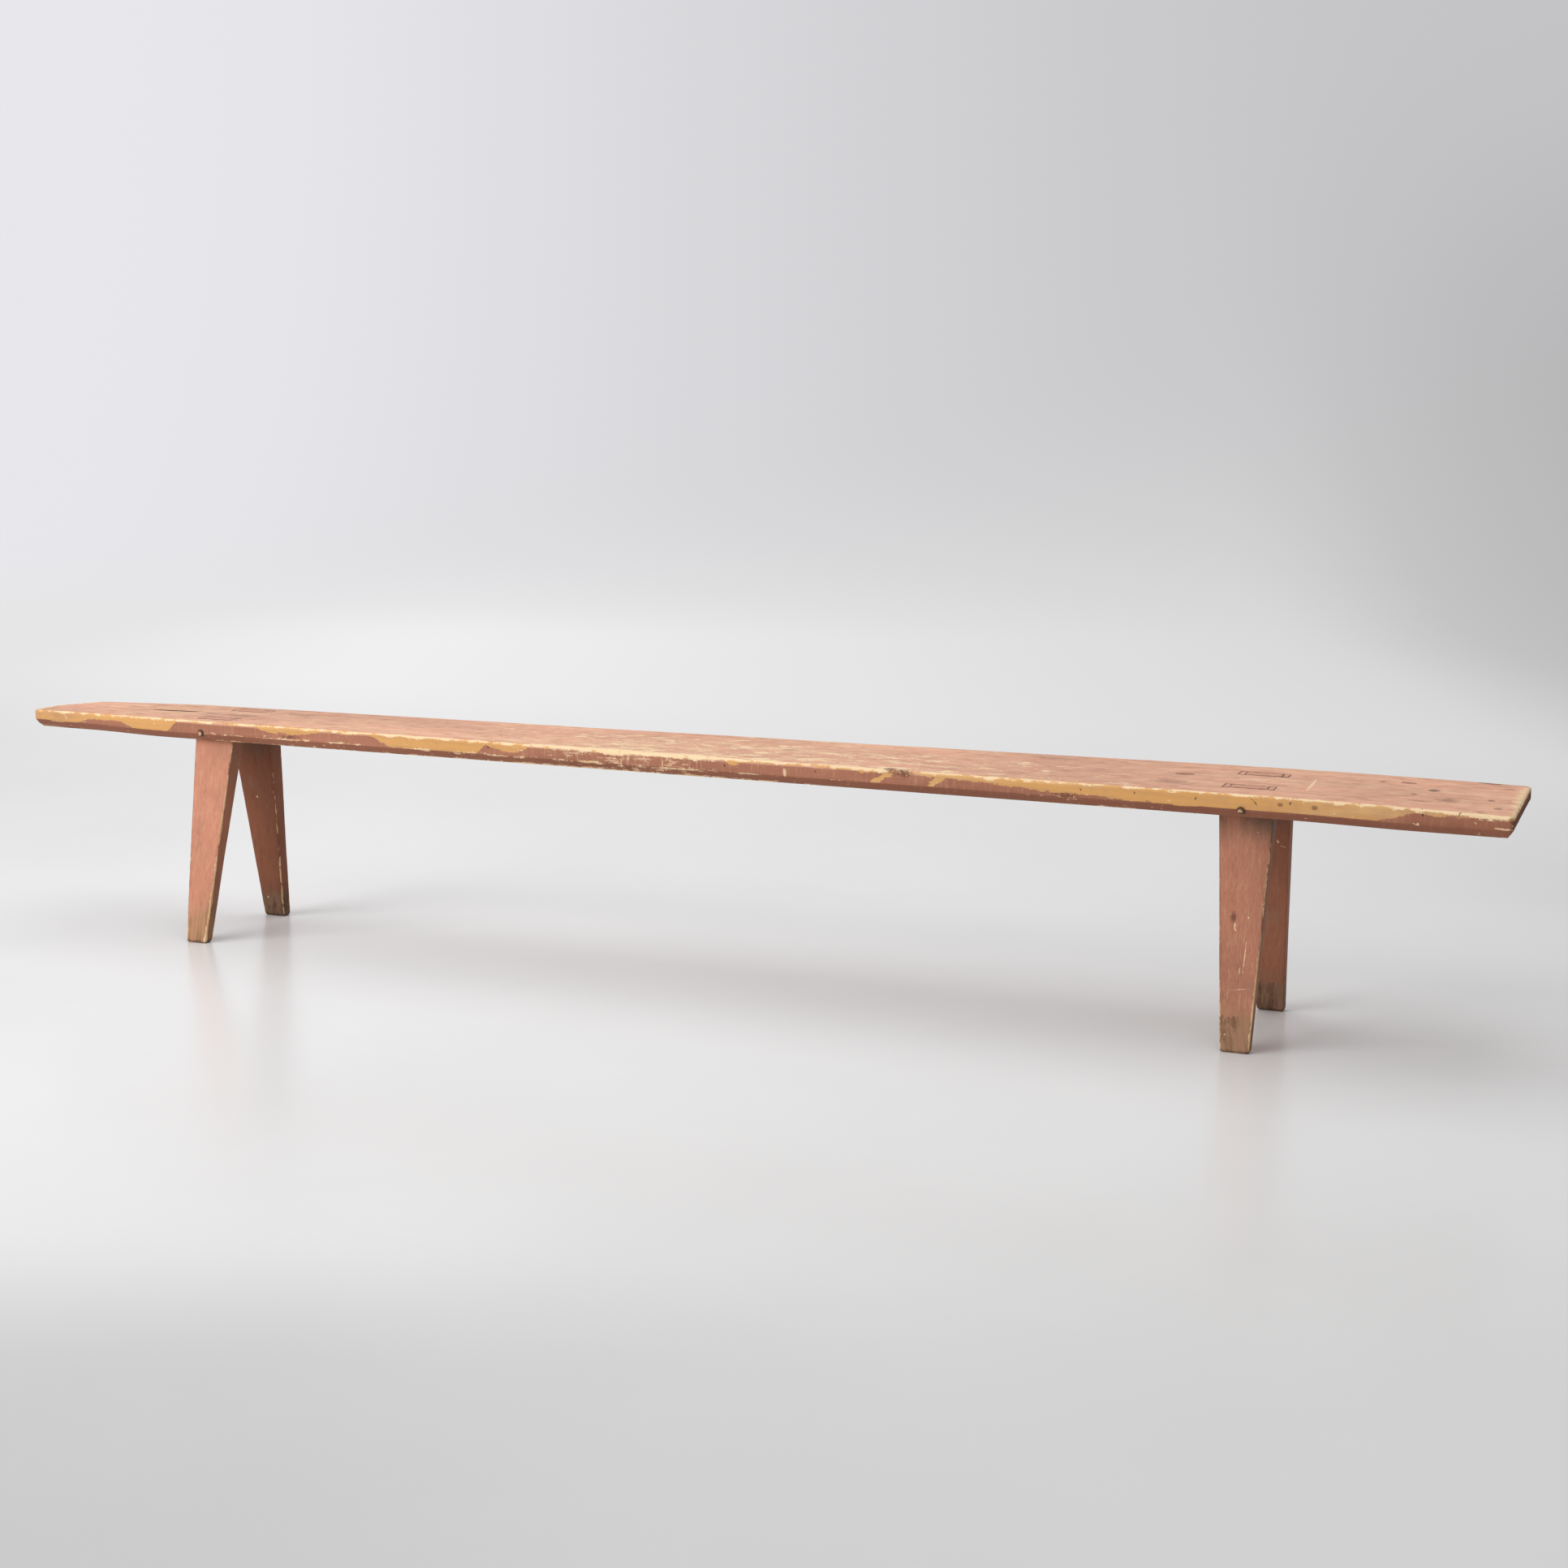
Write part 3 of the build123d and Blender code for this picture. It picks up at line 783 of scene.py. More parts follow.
# ---- Legs, wedges and pegs ----------------------------------------------------------------------
# Hand shaping of each leg's board, in mm: x low, x high, y low and y high, first under the seat
# and then at the floor
LEG_SHAPING = {
    "front_left": ((2.0, 0.0, 0.0, 9.0), (0.0, -1.0, 0.0, -0.5)),
    "back_left": ((0.0, 3.5, -8.0, 2.0), (0.0, 1.0, -0.5, 0.0)),
    "front_right": ((-0.5, 1.5, 0.0, 6.0), (-0.5, 3.0, 0.0, 0.0)),
    "back_right": ((0.0, 3.5, -6.0, 2.0), (0.0, 2.0, 0.0, 0.0)),
}
# For each leg: how far its paint is darkened toward the deep paint, as unfaded paint and as painted
# shade, how dark its inner faces are with painted shade, how much painted shade and grey dirt
# darken its top, how worn its left and right arrises are, and how dirty its foot is
LEG_LOOKS = {
    "front_left": (0.0, 0.72, 0.34, 0.76, 0.98, 0.0),
    "back_left": (0.24, 0.86, 1.0, 0.56, 0.80, 0.62),
    "front_right": (0.37, 0.62, 1.3, 0.68, 0.86, 0.36),
    "back_right": (0.30, 0.64, 0.7, 0.50, 0.40, 0.55),
}


class Legs(bpy.types.Operator):
    """Make the four legs: tapered, splayed boards with worn arrises and feet, and through tenons"""

    bl_idname = "bench.legs"
    bl_label = "Legs"

    def execute(self, context):
        material = leg_material(context.scene.bench_finish)
        for number, end in enumerate(ENDS):
            node = f"leg_{end}"
            board = shaped_board(node, end)
            tenon = taper(node, SEAT_LOW.z + 1 * MM, SEAT_HIGH.z - 1 * MM)
            piece = piece_from(f"board_{end}", *leg_skin(board, tenon, number * 17 + 3))
            low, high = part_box(f"peg_{end}")
            bore = (high.x - low.x) / 2 + SNUG
            cut_away(piece, [round_form((low.x + high.x) / 2, (low.z + high.z) / 2, (
                (low.y - 20 * MM, bore, 0, 0),
                (high.y + 20 * MM, bore, 0, 0),
            ))])
            mark_leg(piece, board, end)
            mark(piece, "own_grain", np.full(len(piece.data.vertices), number * 0.83))
            finish_piece(piece, node, material)
        return {"FINISHED"}


def shaped_board(node, end):
    """The sides of a leg's board at any height: its node's, trimmed as the plane left them."""
    plain = taper(node, 10 * MM, SEAT_LOW.z - 10 * MM)
    above, below = (np.array(trim) * MM for trim in LEG_SHAPING[end])

    def sides(z):
        part = min(max(z / SEAT_LOW.z, 0), 1)
        return plain(z) + below * (1 - part) + above * (0.45 * part + 0.55 * part ** 3)

    return sides


# How the foot is rounded, in mm: height, how far in, corner radius
FOOT_ROUNDING = ((0.0, 3.6, 3.0), (0.5, 2.3, 4.0), (1.6, 1.1, 4.6), (3.2, 0.4, 4.4), (5.5, 0, 4.0))


def leg_skin(board, tenon, seed):
    """Points and faces of one leg, from its worn foot to the end grain of its tenon."""
    cells, steps = (8, 3), 4
    rings = []

    def board_ring(z, inset, corner):
        sides = board(z) + np.array((1, -1, 1, -1)) * inset
        radii = []
        for i in range(4):
            slow, quick = wander(z, i, pace=9, seed=seed), wander(z, i, pace=55, seed=seed)
            radii.append(corner * (1 + 0.35 * slow + 0.25 * quick))
        plan = rounded_rectangle(sides, radii, cells, steps)
        centre = plan.mean(axis=0)
        planed = np.array([
            0.30 * MM * (1 + wander(*(p * 14), z * 6, seed=seed)) / 2
            + 0.12 * MM * (1 + wander(*(p * 50), z * 30, seed=seed)) / 2
            for p in plan
        ])
        away = plan - centre
        return plan - away / np.hypot(*away.T)[:, None] * planed[:, None]

    for z, inset, corner in FOOT_ROUNDING:
        plan = board_ring(z * MM, inset * MM, corner * MM)
        ragged = np.array([max(0, wander(*(p * 60), seed=seed + 9)) for p in plan])
        lift = ragged * 1.6 * MM if 0 < z < 5 else 0
        rings.append(at_height(plan, z * MM + lift))
    for z in np.linspace(12 * MM, SEAT_LOW.z - 1.2 * MM, 56):
        rings.append(at_height(board_ring(z, 0, 3.0 * MM), z))
    rings.append(at_height(board_ring(SEAT_LOW.z, 0.3 * MM, 2.7 * MM), SEAT_LOW.z))
    for z in np.linspace(SEAT_LOW.z, SEAT_HIGH.z - 1.0 * MM, 6):
        sides = tenon(max(z, SEAT_LOW.z + 1 * MM))
        rings.append(at_height(rounded_rectangle(sides, [0.5 * MM] * 4, cells, steps), z))
    for drop, inset in ((0.45, 0.25), (0.2, 0.9), (0.15, 4.0)):
        sides = tenon(SEAT_HIGH.z) + np.array((1, -1, 1, -1)) * inset * MM
        plan = rounded_rectangle(sides, [(0.5 + inset * 0.3) * MM] * 4, cells, steps)
        rings.append(at_height(plan, SEAT_HIGH.z - drop * MM))
    return skin(rings)


def mark_leg(piece, board, end):
    """Stores how near each point is to an arris, to the foot and to the plank, and which way in,
    and the painted shade of the inner faces, of the top under the seat and of each leg's paint.
    """
    points = points_of(piece)
    x, y, z = points.T
    sides = np.array([board(height) for height in z])
    off_x = np.minimum(x - sides[:, 0], sides[:, 1] - x)
    off_y = np.minimum(y - sides[:, 2], sides[:, 3] - y)
    off_arris = np.hypot(np.maximum(off_x, 0), np.maximum(off_y, 0))
    arris = np.clip(1 - (off_arris - 1.1 * MM) / (6 * MM), 0, 1)
    inner = sides[:, 3] - y if "front" in end else y - sides[:, 2]
    in_board = z < SEAT_LOW.z + 0.5 * MM
    right_hand = ease(x - sides[:, :2].mean(axis=1), -20 * MM, 20 * MM)
    unfaded_and_shaded, inner_shade, top_shade, worn_left, worn_right, dirt = LEG_LOOKS[end]
    worn = (worn_left + (worn_right - worn_left) * right_hand) * (1 - 0.18 * ease(z, 0.26, 0.36))
    mark(piece, "arris", np.where(in_board, arris * worn, 0))
    mark(piece, "foot", np.clip(1 - z / 0.16, 0, 1))
    mark(piece, "foot_dirt", np.full(len(z), dirt))
    # Painted shade with grey dirt on the leg's top, where the seat shades it
    mark(piece, "head", ease(z, SEAT_LOW.z - 0.075, SEAT_LOW.z) * top_shade * in_board)
    # Painted shade: the inner face and the narrow side faces are darkened, by each leg's
    # inner_shade
    on_inner = 1 - ease(inner, 1.5 * MM, 4 * MM)
    on_edge = (1 - ease(off_x, 1.5 * MM, 3.5 * MM)) * 0.95
    mark(piece, "sheltered_shade", np.maximum(on_inner, on_edge) * inner_shade * in_board)
    # Unfaded paint and painted shade: each leg's paint darkened by its own amount, and a little
    # more low down
    mark(piece, "unfaded_and_shaded", (unfaded_and_shaded + 0.10 * (1 - ease(z, 0.08, 0.24))) * in_board)
    mark(piece, "tenon", ease(z, SEAT_LOW.z + 2 * MM, SEAT_LOW.z + 6 * MM))


class Wedges(bpy.types.Operator):
    """Make the eight wedges that spread the tenons, their heads crushed by the mallet"""

    bl_idname = "bench.wedges"
    bl_label = "Wedges"

    def execute(self, context):
        material = wedge_material(context.scene.bench_finish)
        for number, end in enumerate(ENDS):
            for which in ("outer", "inner"):
                node = f"wedge_{end}_{which}"
                seed = number * 5 + len(which) * 3
                piece = piece_from(f"key_{end}_{which}", *wedge_skin(node, seed))
                finish_piece(piece, node, material)
        return {"FINISHED"}


def wedge_skin(node, seed):
    """Points and faces of one wedge, from its thin end up to its crushed head."""
    low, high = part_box(node)
    shape = taper(node, low.z + 1 * MM, high.z - 1 * MM)
    rings = []
    for z, inset in (
        (low.z, 0.8), (low.z + 1 * MM, 0.05), (low.z + 12 * MM, 0),
        (high.z - 14 * MM, 0), (high.z - 5 * MM, 0), (high.z - 1.4 * MM, 0.05),
        (high.z - 0.7 * MM, 0.3), (high.z - 0.35 * MM, 0.9), (high.z - 0.25 * MM, 2.2),
    ):
        sides = shape(z) + np.array((1, -1, 1, -1)) * inset * MM
        plan = rounded_rectangle(sides, [0.6 * MM] * 4, (3, 6), 3)
        crushed = np.array([max(0, wander(*(p * 120), seed=seed)) for p in plan])
        near_head = z > high.z - 1 * MM
        rings.append(at_height(plan, z - (crushed * 0.5 * MM if near_head else 0)))
    return skin(rings)


# A peg from its outer end inwards: how far in, in mm, and its share of the full radius
PEG_OUTER = (
    (0.12, 0.10), (0.05, 0.40), (0.12, 0.62), (0.40, 0.78), (0.9, 0.88), (1.6, 0.96),
    (2.6, 1.0), (6.0, 1.0), (14.0, 1.0), (30.0, 0.985), (50.0, 0.97),
)
# The same at its inner end, counted back from there
PEG_INNER = ((1.2, 0.96), (0, 0.76))


class Pegs(bpy.types.Operator):
    """Make the four whittled pegs that pin the tenons through the long edges of the seat"""

    bl_idname = "bench.pegs"
    bl_label = "Pegs"

    def execute(self, context):
        material = peg_material(context.scene.bench_finish)
        for number, end in enumerate(ENDS):
            node = f"peg_{end}"
            low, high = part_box(node)
            side = -1 if "front" in end else 1
            outer, inner = (low.y, high.y) if side < 0 else (high.y, low.y)
            middle_x, middle_z = (low.x + high.x) / 2, (low.z + high.z) / 2
            radius = (high.x - low.x) / 2
            sides = 32
            angles = np.linspace(0, 2 * math.pi, sides, endpoint=False)
            whittled = 0.014 * (1 + np.cos(8 * angles + number))
            uneven = [wander(math.cos(a), math.sin(a), pace=1.2, seed=number) for a in angles]
            flats = 1 - whittled - 0.015 * (1 + np.array(uneven))
            stations = [(outer - side * depth * MM, size) for depth, size in PEG_OUTER]
            stations += [(inner + side * back * MM, size) for back, size in PEG_INNER]
            rings = []
            for y, size in stations:
                rings.append(np.column_stack((
                    middle_x + radius * size * flats * np.cos(angles),
                    np.full(sides, y),
                    middle_z + radius * size * flats * np.sin(angles),
                )))
            piece = piece_from(f"dowel_{end}", *skin(rings))
            x, _, z = points_of(piece).T
            shift_x, shift_z = (0.9 * MM, 0.9 * MM) if "right" in end else (1.0 * MM, 0.0)
            off_axis = np.hypot(x - middle_x + shift_x, z - middle_z + shift_z)
            painted_over = 0.87 * ease(middle_z - z, 0, 0.25 * radius) * ("right" in end)
            mark(piece, "rim", np.maximum(off_axis / radius, painted_over))
            finish_piece(piece, node, material)
        return {"FINISHED"}


# ---- Node helpers -------------------------------------------------------------------------------
class Tree:
    """Builds one node tree. Every method returns the socket that the next node takes."""

    def __init__(self, tree):
        self.tree = tree

    def add(self, kind, inputs=None, **settings):
        node = self.tree.nodes.new(kind)
        for name, value in settings.items():
            setattr(node, name, value)
        for key, value in (inputs or {}).items():
            if isinstance(value, bpy.types.NodeSocket):
                self.tree.links.new(value, node.inputs[key])
            else:
                node.inputs[key].default_value = value
        return node

    def maths(self, kind, *values):
        """A Math node's result."""
        node = self.add("ShaderNodeMath", dict(enumerate(values)), operation=kind)
        return node.outputs[0]

    def times(self, first, second):
        """The product of two values."""
        return self.maths("MULTIPLY", first, second)

    def times_plus(self, first, second, third):
        """The product of the first two values, plus the third."""
        return self.maths("MULTIPLY_ADD", first, second, third)

    def vector(self, kind, *values, output=0):
        """A Vector Math node's result."""
        node = self.add("ShaderNodeVectorMath", operation=kind)
        for i, value in enumerate(values):
            socket = node.inputs["Scale"] if kind == "SCALE" and i == 1 else node.inputs[i]
            if isinstance(value, bpy.types.NodeSocket):
                self.tree.links.new(value, socket)
            else:
                socket.default_value = value
        return node.outputs[output]

    def ease(self, value, start, end, low=0.0, high=1.0):
        """A smooth step from low at start to high at end."""
        inputs = {"Value": value, "From Min": start, "From Max": end, "To Min": low, "To Max": high}
        node = self.add("ShaderNodeMapRange", inputs, interpolation_type="SMOOTHSTEP")
        return node.outputs["Result"]

    def combined(self, x, y, z):
        """A vector from its three parts."""
        return self.add("ShaderNodeCombineXYZ", {0: x, 1: y, 2: z}).outputs[0]

    def grey(self, tone):
        """The grey of one tone."""
        return self.add("ShaderNodeCombineColor", {0: tone, 1: tone, 2: tone}).outputs[0]

    def mix(self, share_of_second, first, second, blend="MIX"):
        node = self.add("ShaderNodeMix", data_type="RGBA", blend_type=blend)
        for number, value in ((0, share_of_second), (6, first), (7, second)):
            if isinstance(value, bpy.types.NodeSocket):
                self.tree.links.new(value, node.inputs[number])
            else:
                node.inputs[number].default_value = value if number == 0 else (*value[:3], 1)
        return node.outputs[2]

    def over(self, mask, share_kept, below, above):
        """Lays one colour over another where the mask shows, thinned by the share that is kept."""
        return self.mix(self.times(mask, share_kept), below, above)

    def noise(self, vector, scale, detail=3.0, roughness=0.55, distortion=0.0):
        inputs = {"Vector": vector, "Scale": scale, "Detail": detail}
        inputs.update({"Roughness": roughness, "Distortion": distortion})
        return self.add("ShaderNodeTexNoise", inputs).outputs[0]

    def stretched(self, vector, scale):
        """Coordinates squeezed or stretched by scale."""
        return self.vector("MULTIPLY", vector, scale)

    def group(self, tree, **inputs):
        node = self.add("ShaderNodeGroup", node_tree=tree)
        for name, value in inputs.items():
            key = name.replace("_", " ").capitalize()
            if isinstance(value, bpy.types.NodeSocket):
                self.tree.links.new(value, node.inputs[key])
            else:
                node.inputs[key].default_value = value
        return node.outputs

    def marked(self, name):
        """A value that the piece's mesh stores under name."""
        return self.add("ShaderNodeAttribute", attribute_name=name).outputs["Fac"]


def group_tree(name, inputs, outputs):
    """A shader node group with named sockets, and the Tree that fills it."""
    tree = bpy.data.node_groups.new(name, "ShaderNodeTree")
    for label, kind, default in inputs:
        socket = tree.interface.new_socket(label, in_out="INPUT", socket_type=kind)
        if default is not None:
            socket.default_value = default
    for label, kind in outputs:
        tree.interface.new_socket(label, in_out="OUTPUT", socket_type=kind)
    nodes = Tree(tree)
    return nodes, nodes.add("NodeGroupInput").outputs, nodes.add("NodeGroupOutput").inputs


FLOAT, VECTOR, COLOUR = "NodeSocketFloat", "NodeSocketVector", "NodeSocketColor"


def once(name):
    """Makes a node group on its first call and hands the same one out afterwards."""
    def wrap(make):
        def get():
            return bpy.data.node_groups.get(name) or make(name)
        return get
    return wrap


@once("Pine Grain")
def pine_grain(name):
    """Growth rings and fine fibre. The grain runs along the vector's X."""
    nodes, given, out = group_tree(
        name,
        [("Vector", VECTOR, None), ("Heart", VECTOR, (0, 0, 0)), ("Spacing", FLOAT, 0.006)],
        [("Rings", FLOAT), ("Fibre", FLOAT), ("Height", FLOAT)],
    )
    vector = nodes.vector("SUBTRACT", given["Vector"], given["Heart"])
    bend = nodes.noise(nodes.stretched(vector, (0.8, 5, 5)), 1.0, 2.0)
    across = nodes.stretched(vector, (0.02, 1, 1))
    radius = nodes.vector("LENGTH", across, output=1)
    waved = nodes.times_plus(bend, 0.055, radius)
    turns = nodes.maths("DIVIDE", waved, given["Spacing"])
    saw = nodes.maths("FRACT", turns)
    rings = nodes.times(nodes.ease(saw, 0.35, 0.9), nodes.ease(saw, 1.0, 0.93))
    fibre = nodes.noise(nodes.stretched(vector, (7, 520, 520)), 1.0, 3.0, 0.6)
    nodes.tree.links.new(rings, out["Rings"])
    nodes.tree.links.new(fibre, out["Fibre"])
    height = nodes.times_plus(rings, 0.6, nodes.times(fibre, 0.5))
    nodes.tree.links.new(height, out["Height"])
    return nodes.tree


@once("Worn Away")
def worn_away(name):
    """A crisp, ragged mask of where a coat has gone, from a soft measure of wear."""
    nodes, given, out = group_tree(
        name,
        [
            ("Vector", VECTOR, None), ("Wear", FLOAT, 0.0), ("Grain", FLOAT, 0.5),
            ("Limit", FLOAT, 0.5), ("Ragged", FLOAT, 0.5), ("Size", FLOAT, 60.0),
            ("Crisp", FLOAT, 0.05), ("Stretch", VECTOR, (0.3, 1, 1)),
        ],
        [("Gone", FLOAT)],
    )
    vector = nodes.vector("MULTIPLY", given["Vector"], given["Stretch"])
    coarse = nodes.noise(vector, given["Size"], 4.0, 0.60)
    fine = nodes.noise(vector, nodes.times(given["Size"], 7.0), 3.0, 0.6)
    spread = nodes.times(nodes.maths("SUBTRACT", coarse, 0.5), given["Ragged"])
    for source, part in ((fine, 0.35), (given["Grain"], 0.5)):
        amount = nodes.times(given["Ragged"], part)
        spread = nodes.times_plus(nodes.maths("SUBTRACT", source, 0.5), amount, spread)
    level = nodes.maths("SUBTRACT", nodes.maths("ADD", given["Wear"], spread), given["Limit"])
    nodes.tree.links.new(nodes.ease(level, 0.0, given["Crisp"]), out["Gone"])
    return nodes.tree


@once("Spot")
def spot(name):
    """A knot or stain: 1 in its middle and 0 outside, with a ragged rim."""
    nodes, given, out = group_tree(
        name,
        [
            ("Vector", VECTOR, None), ("Rough", FLOAT, 0.0), ("Centre", VECTOR, (0, 0, 0)),
            ("Size", VECTOR, (0.01, 0.01, 0.01)), ("Ragged", FLOAT, 0.4),
        ],
        [("Mask", FLOAT), ("Ring", FLOAT)],
    )
    offset = nodes.vector("SUBTRACT", given["Vector"], given["Centre"])
    offset = nodes.vector("DIVIDE", offset, given["Size"])
    distance = nodes.vector("LENGTH", offset, output=1)
    ragged = nodes.times(given["Ragged"], 2.0)
    distance = nodes.times_plus(given["Rough"], ragged, distance)
    nodes.tree.links.new(nodes.ease(distance, 1.0, 0.35), out["Mask"])
    ring = nodes.times(nodes.ease(distance, 0.55, 0.8), nodes.ease(distance, 1.15, 0.85))
    nodes.tree.links.new(ring, out["Ring"])
    return nodes.tree


@once("Scratch")
def scratch(name):
    """A line between two points, thinner at its ends."""
    nodes, given, out = group_tree(
        name,
        [
            ("Vector", VECTOR, None), ("Start", VECTOR, (0, 0, 0)), ("End", VECTOR, (0, 0, 0)),
            ("Width", FLOAT, 0.001),
        ],
        [("Mask", FLOAT)],
    )
    offset = nodes.vector("SUBTRACT", given["Vector"], given["Start"])
    run = nodes.vector("SUBTRACT", given["End"], given["Start"])
    dot = nodes.vector("DOT_PRODUCT", offset, run, output=1)
    whole = nodes.vector("DOT_PRODUCT", run, run, output=1)
    part = nodes.maths("MAXIMUM", nodes.maths("DIVIDE", dot, whole), 0.0)
    part = nodes.maths("MINIMUM", part, 1.0)
    off_line = nodes.vector("SUBTRACT", offset, nodes.vector("SCALE", run, part))
    away = nodes.vector("LENGTH", off_line, output=1)
    swell = nodes.times(nodes.times(part, nodes.maths("SUBTRACT", 1.0, part)), 4.0)
    width = nodes.times(nodes.times_plus(swell, 0.6, 0.4), given["Width"])
    share_away = nodes.maths("DIVIDE", away, width)
    nodes.tree.links.new(nodes.ease(share_away, 0.65, 0.3), out["Mask"])
    return nodes.tree


@once("Dust and Dirt")
def dust_and_dirt(name):
    """Large soft changes of tone and small dark specks, the same way on every painted piece."""
    nodes, given, out = group_tree(
        name,
        [
            ("Vector", VECTOR, None), ("Colour", COLOUR, (0.5, 0.5, 0.5, 1)),
            ("Dark", COLOUR, (0.1, 0.1, 0.1, 1)), ("Amount", FLOAT, 1.0),
        ],
        [("Colour", COLOUR)],
    )
    broad = nodes.noise(nodes.stretched(given["Vector"], (2.5, 7, 7)), 1.0, 4.0, 0.6)
    tone = nodes.ease(broad, 0.30, 0.72, 0.86, 1.10)
    toned = nodes.mix(given["Amount"], given["Colour"], nodes.grey(tone), "MULTIPLY")
    mottled = nodes.noise(nodes.stretched(given["Vector"], (22, 48, 48)), 1.0, 5.0, 0.7)
    toned = nodes.mix(nodes.ease(mottled, 0.52, 0.75, 0.0, 0.32), toned, given["Dark"])
    speck = nodes.noise(nodes.stretched(given["Vector"], (150, 260, 260)), 1.0, 2.0, 0.5)
    specks = nodes.times(nodes.ease(speck, 0.70, 0.80), given["Amount"])
    nodes.tree.links.new(nodes.over(specks, 0.6, toned, given["Dark"]), out["Colour"])
    return nodes.tree


@once("Joint Line")
def joint_line(name):
    """A dark line along the border of an upright box, such as a mortise seen from above."""
    nodes, given, out = group_tree(
        name,
        [
            ("Vector", VECTOR, None), ("Rough", FLOAT, 0.0), ("Centre", VECTOR, (0, 0, 0)),
            ("Half", VECTOR, (0.04, 0.015, 1)), ("Width", FLOAT, 0.001),
        ],
        [("Mask", FLOAT)],
    )
    offset = nodes.vector("ABSOLUTE", nodes.vector("SUBTRACT", given["Vector"], given["Centre"]))
    beyond = nodes.vector("MULTIPLY", nodes.vector("SUBTRACT", offset, given["Half"]), (1, 0.5, 1))
    outside = nodes.vector("LENGTH", nodes.vector("MAXIMUM", beyond, (0, 0, 0)), output=1)
    split = nodes.add("ShaderNodeSeparateXYZ", {0: beyond}).outputs
    nearest = nodes.maths("MAXIMUM", split["X"], split["Y"])
    inside = nodes.maths("ABSOLUTE", nodes.maths("MINIMUM", nearest, 0.0))
    away = nodes.maths("ADD", outside, inside)
    width = nodes.times(given["Width"], nodes.ease(given["Rough"], -0.20, 0.20, 0.2, 1.8))
    away = nodes.maths("DIVIDE", away, width)
    nodes.tree.links.new(nodes.ease(away, 1.0, 0.3), out["Mask"])
    return nodes.tree


def new_material(name):
    """An empty material, its Tree, its shader and the object coordinates."""
    material = bpy.data.materials.new(name)
    material.use_nodes = True
    material.node_tree.nodes.clear()
    nodes = Tree(material.node_tree)
    shader = nodes.add("ShaderNodeBsdfPrincipled")
    output = nodes.add("ShaderNodeOutputMaterial")
    material.node_tree.links.new(shader.outputs[0], output.inputs["Surface"])
    place = nodes.add("ShaderNodeTexCoord").outputs["Object"]
    return material, nodes, shader, place


def rough_and_shaken(nodes, place):
    """Noise that frays the rims of marks, and wavering coordinates for lines drawn by hand."""
    rough = nodes.maths("SUBTRACT", nodes.noise(place, 85.0, 5.0, 0.65), 0.5)
    waver = nodes.times_plus(nodes.noise(place, 150.0, 2.0), 0.005, -0.0025)
    return rough, nodes.vector("ADD", nodes.combined(waver, waver, waver), place)


def bump(nodes, shader, height, strength, distance):
    inputs = {"Height": height, "Strength": strength, "Distance": distance}
    relief = nodes.add("ShaderNodeBump", inputs)
    nodes.tree.links.new(relief.outputs[0], shader.inputs["Normal"])


# ---- Materials ----------------------------------------------------------------------------------
# Knots that show through the paint: centre, size
SEAT_KNOTS = (
    ((1.121, -0.155, 0.4372), (0.0045, 0.010, 0.0035)),
    ((1.179, -0.157, 0.4358), (0.0052, 0.010, 0.0040)),
    ((0.92, 0.02, 0.45), (0.018, 0.013, 0.01)),
    ((1.30, 0.09, 0.445), (0.013, 0.010, 0.01)),
)
# Dark stains on the top: centre, size, depth of tone
SEAT_STAINS = (
    ((0.915, -0.068, 0.45), (0.050, 0.026, 0.02), 0.30),
    ((1.257, 0.080, 0.448), (0.007, 0.012, 0.02), 0.44),
    ((1.350, 0.032, 0.446), (0.013, 0.014, 0.02), 0.75),
    ((1.323, -0.022, 0.446), (0.007, 0.012, 0.02), 0.38),
    ((1.383, -0.055, 0.446), (0.024, 0.032, 0.02), 0.36),
    ((1.343, -0.080, 0.446), (0.030, 0.014, 0.02), 0.20),
    ((1.450, -0.020, 0.444), (0.008, 0.012, 0.02), 0.60),
    ((1.468, -0.092, 0.444), (0.010, 0.012, 0.02), 0.52),
    ((1.442, -0.140, 0.444), (0.010, 0.010, 0.02), 0.28),
    ((1.469, 0.108, 0.444), (0.013, 0.007, 0.02), 0.50),
    ((1.434, 0.152, 0.444), (0.034, 0.012, 0.02), 0.60),
    ((-1.046, -0.007, 0.45), (0.060, 0.018, 0.02), 0.34),
    ((-1.115, -0.004, 0.45), (0.030, 0.012, 0.02), 0.36),
    ((-1.089, 0.070, 0.45), (0.038, 0.012, 0.02), 0.34),
    ((-0.930, 0.045, 0.45), (0.050, 0.022, 0.02), 0.28),
    ((-0.820, -0.048, 0.45), (0.040, 0.014, 0.02), 0.20),
    ((0.171, 0.007, 0.45), (0.026, 0.008, 0.02), 0.46),
    ((0.660, 0.100, 0.45), (0.055, 0.022, 0.02), 0.24),
    ((-1.330, 0.020, 0.45), (0.030, 0.012, 0.02), 0.26),
    ((1.045, 0.060, 0.449), (0.090, 0.012, 0.02), 0.22),
)
# Rough dark patches where the paint has crazed over a knot on the edge: centre, size
SEAT_CRAZED = (
    ((0.444, -0.135, 0.4455), (0.030, 0.020, 0.0085)),
    ((0.420, -0.128, 0.4490), (0.018, 0.014, 0.006)),
    ((0.750, -0.147, 0.4270), (0.034, 0.012, 0.0060)),
    ((-0.86, -0.111, 0.4300), (0.030, 0.010, 0.0050)),
)
# Short dark checks across the front arris: x at the top, x below, how far they run down
SEAT_CHECKS = (
    (-0.190, -0.184, 0.012), (-0.150, -0.144, 0.010), (-0.052, -0.062, 0.014),
    (0.092, 0.098, 0.013), (0.283, 0.276, 0.012), (0.776, 0.775, 0.010),
    (0.868, 0.872, 0.009), (0.985, 0.976, 0.012), (1.142, 1.138, 0.009),
    (1.352, 1.356, 0.012), (1.418, 1.412, 0.008), (-0.410, -0.403, 0.010),
)
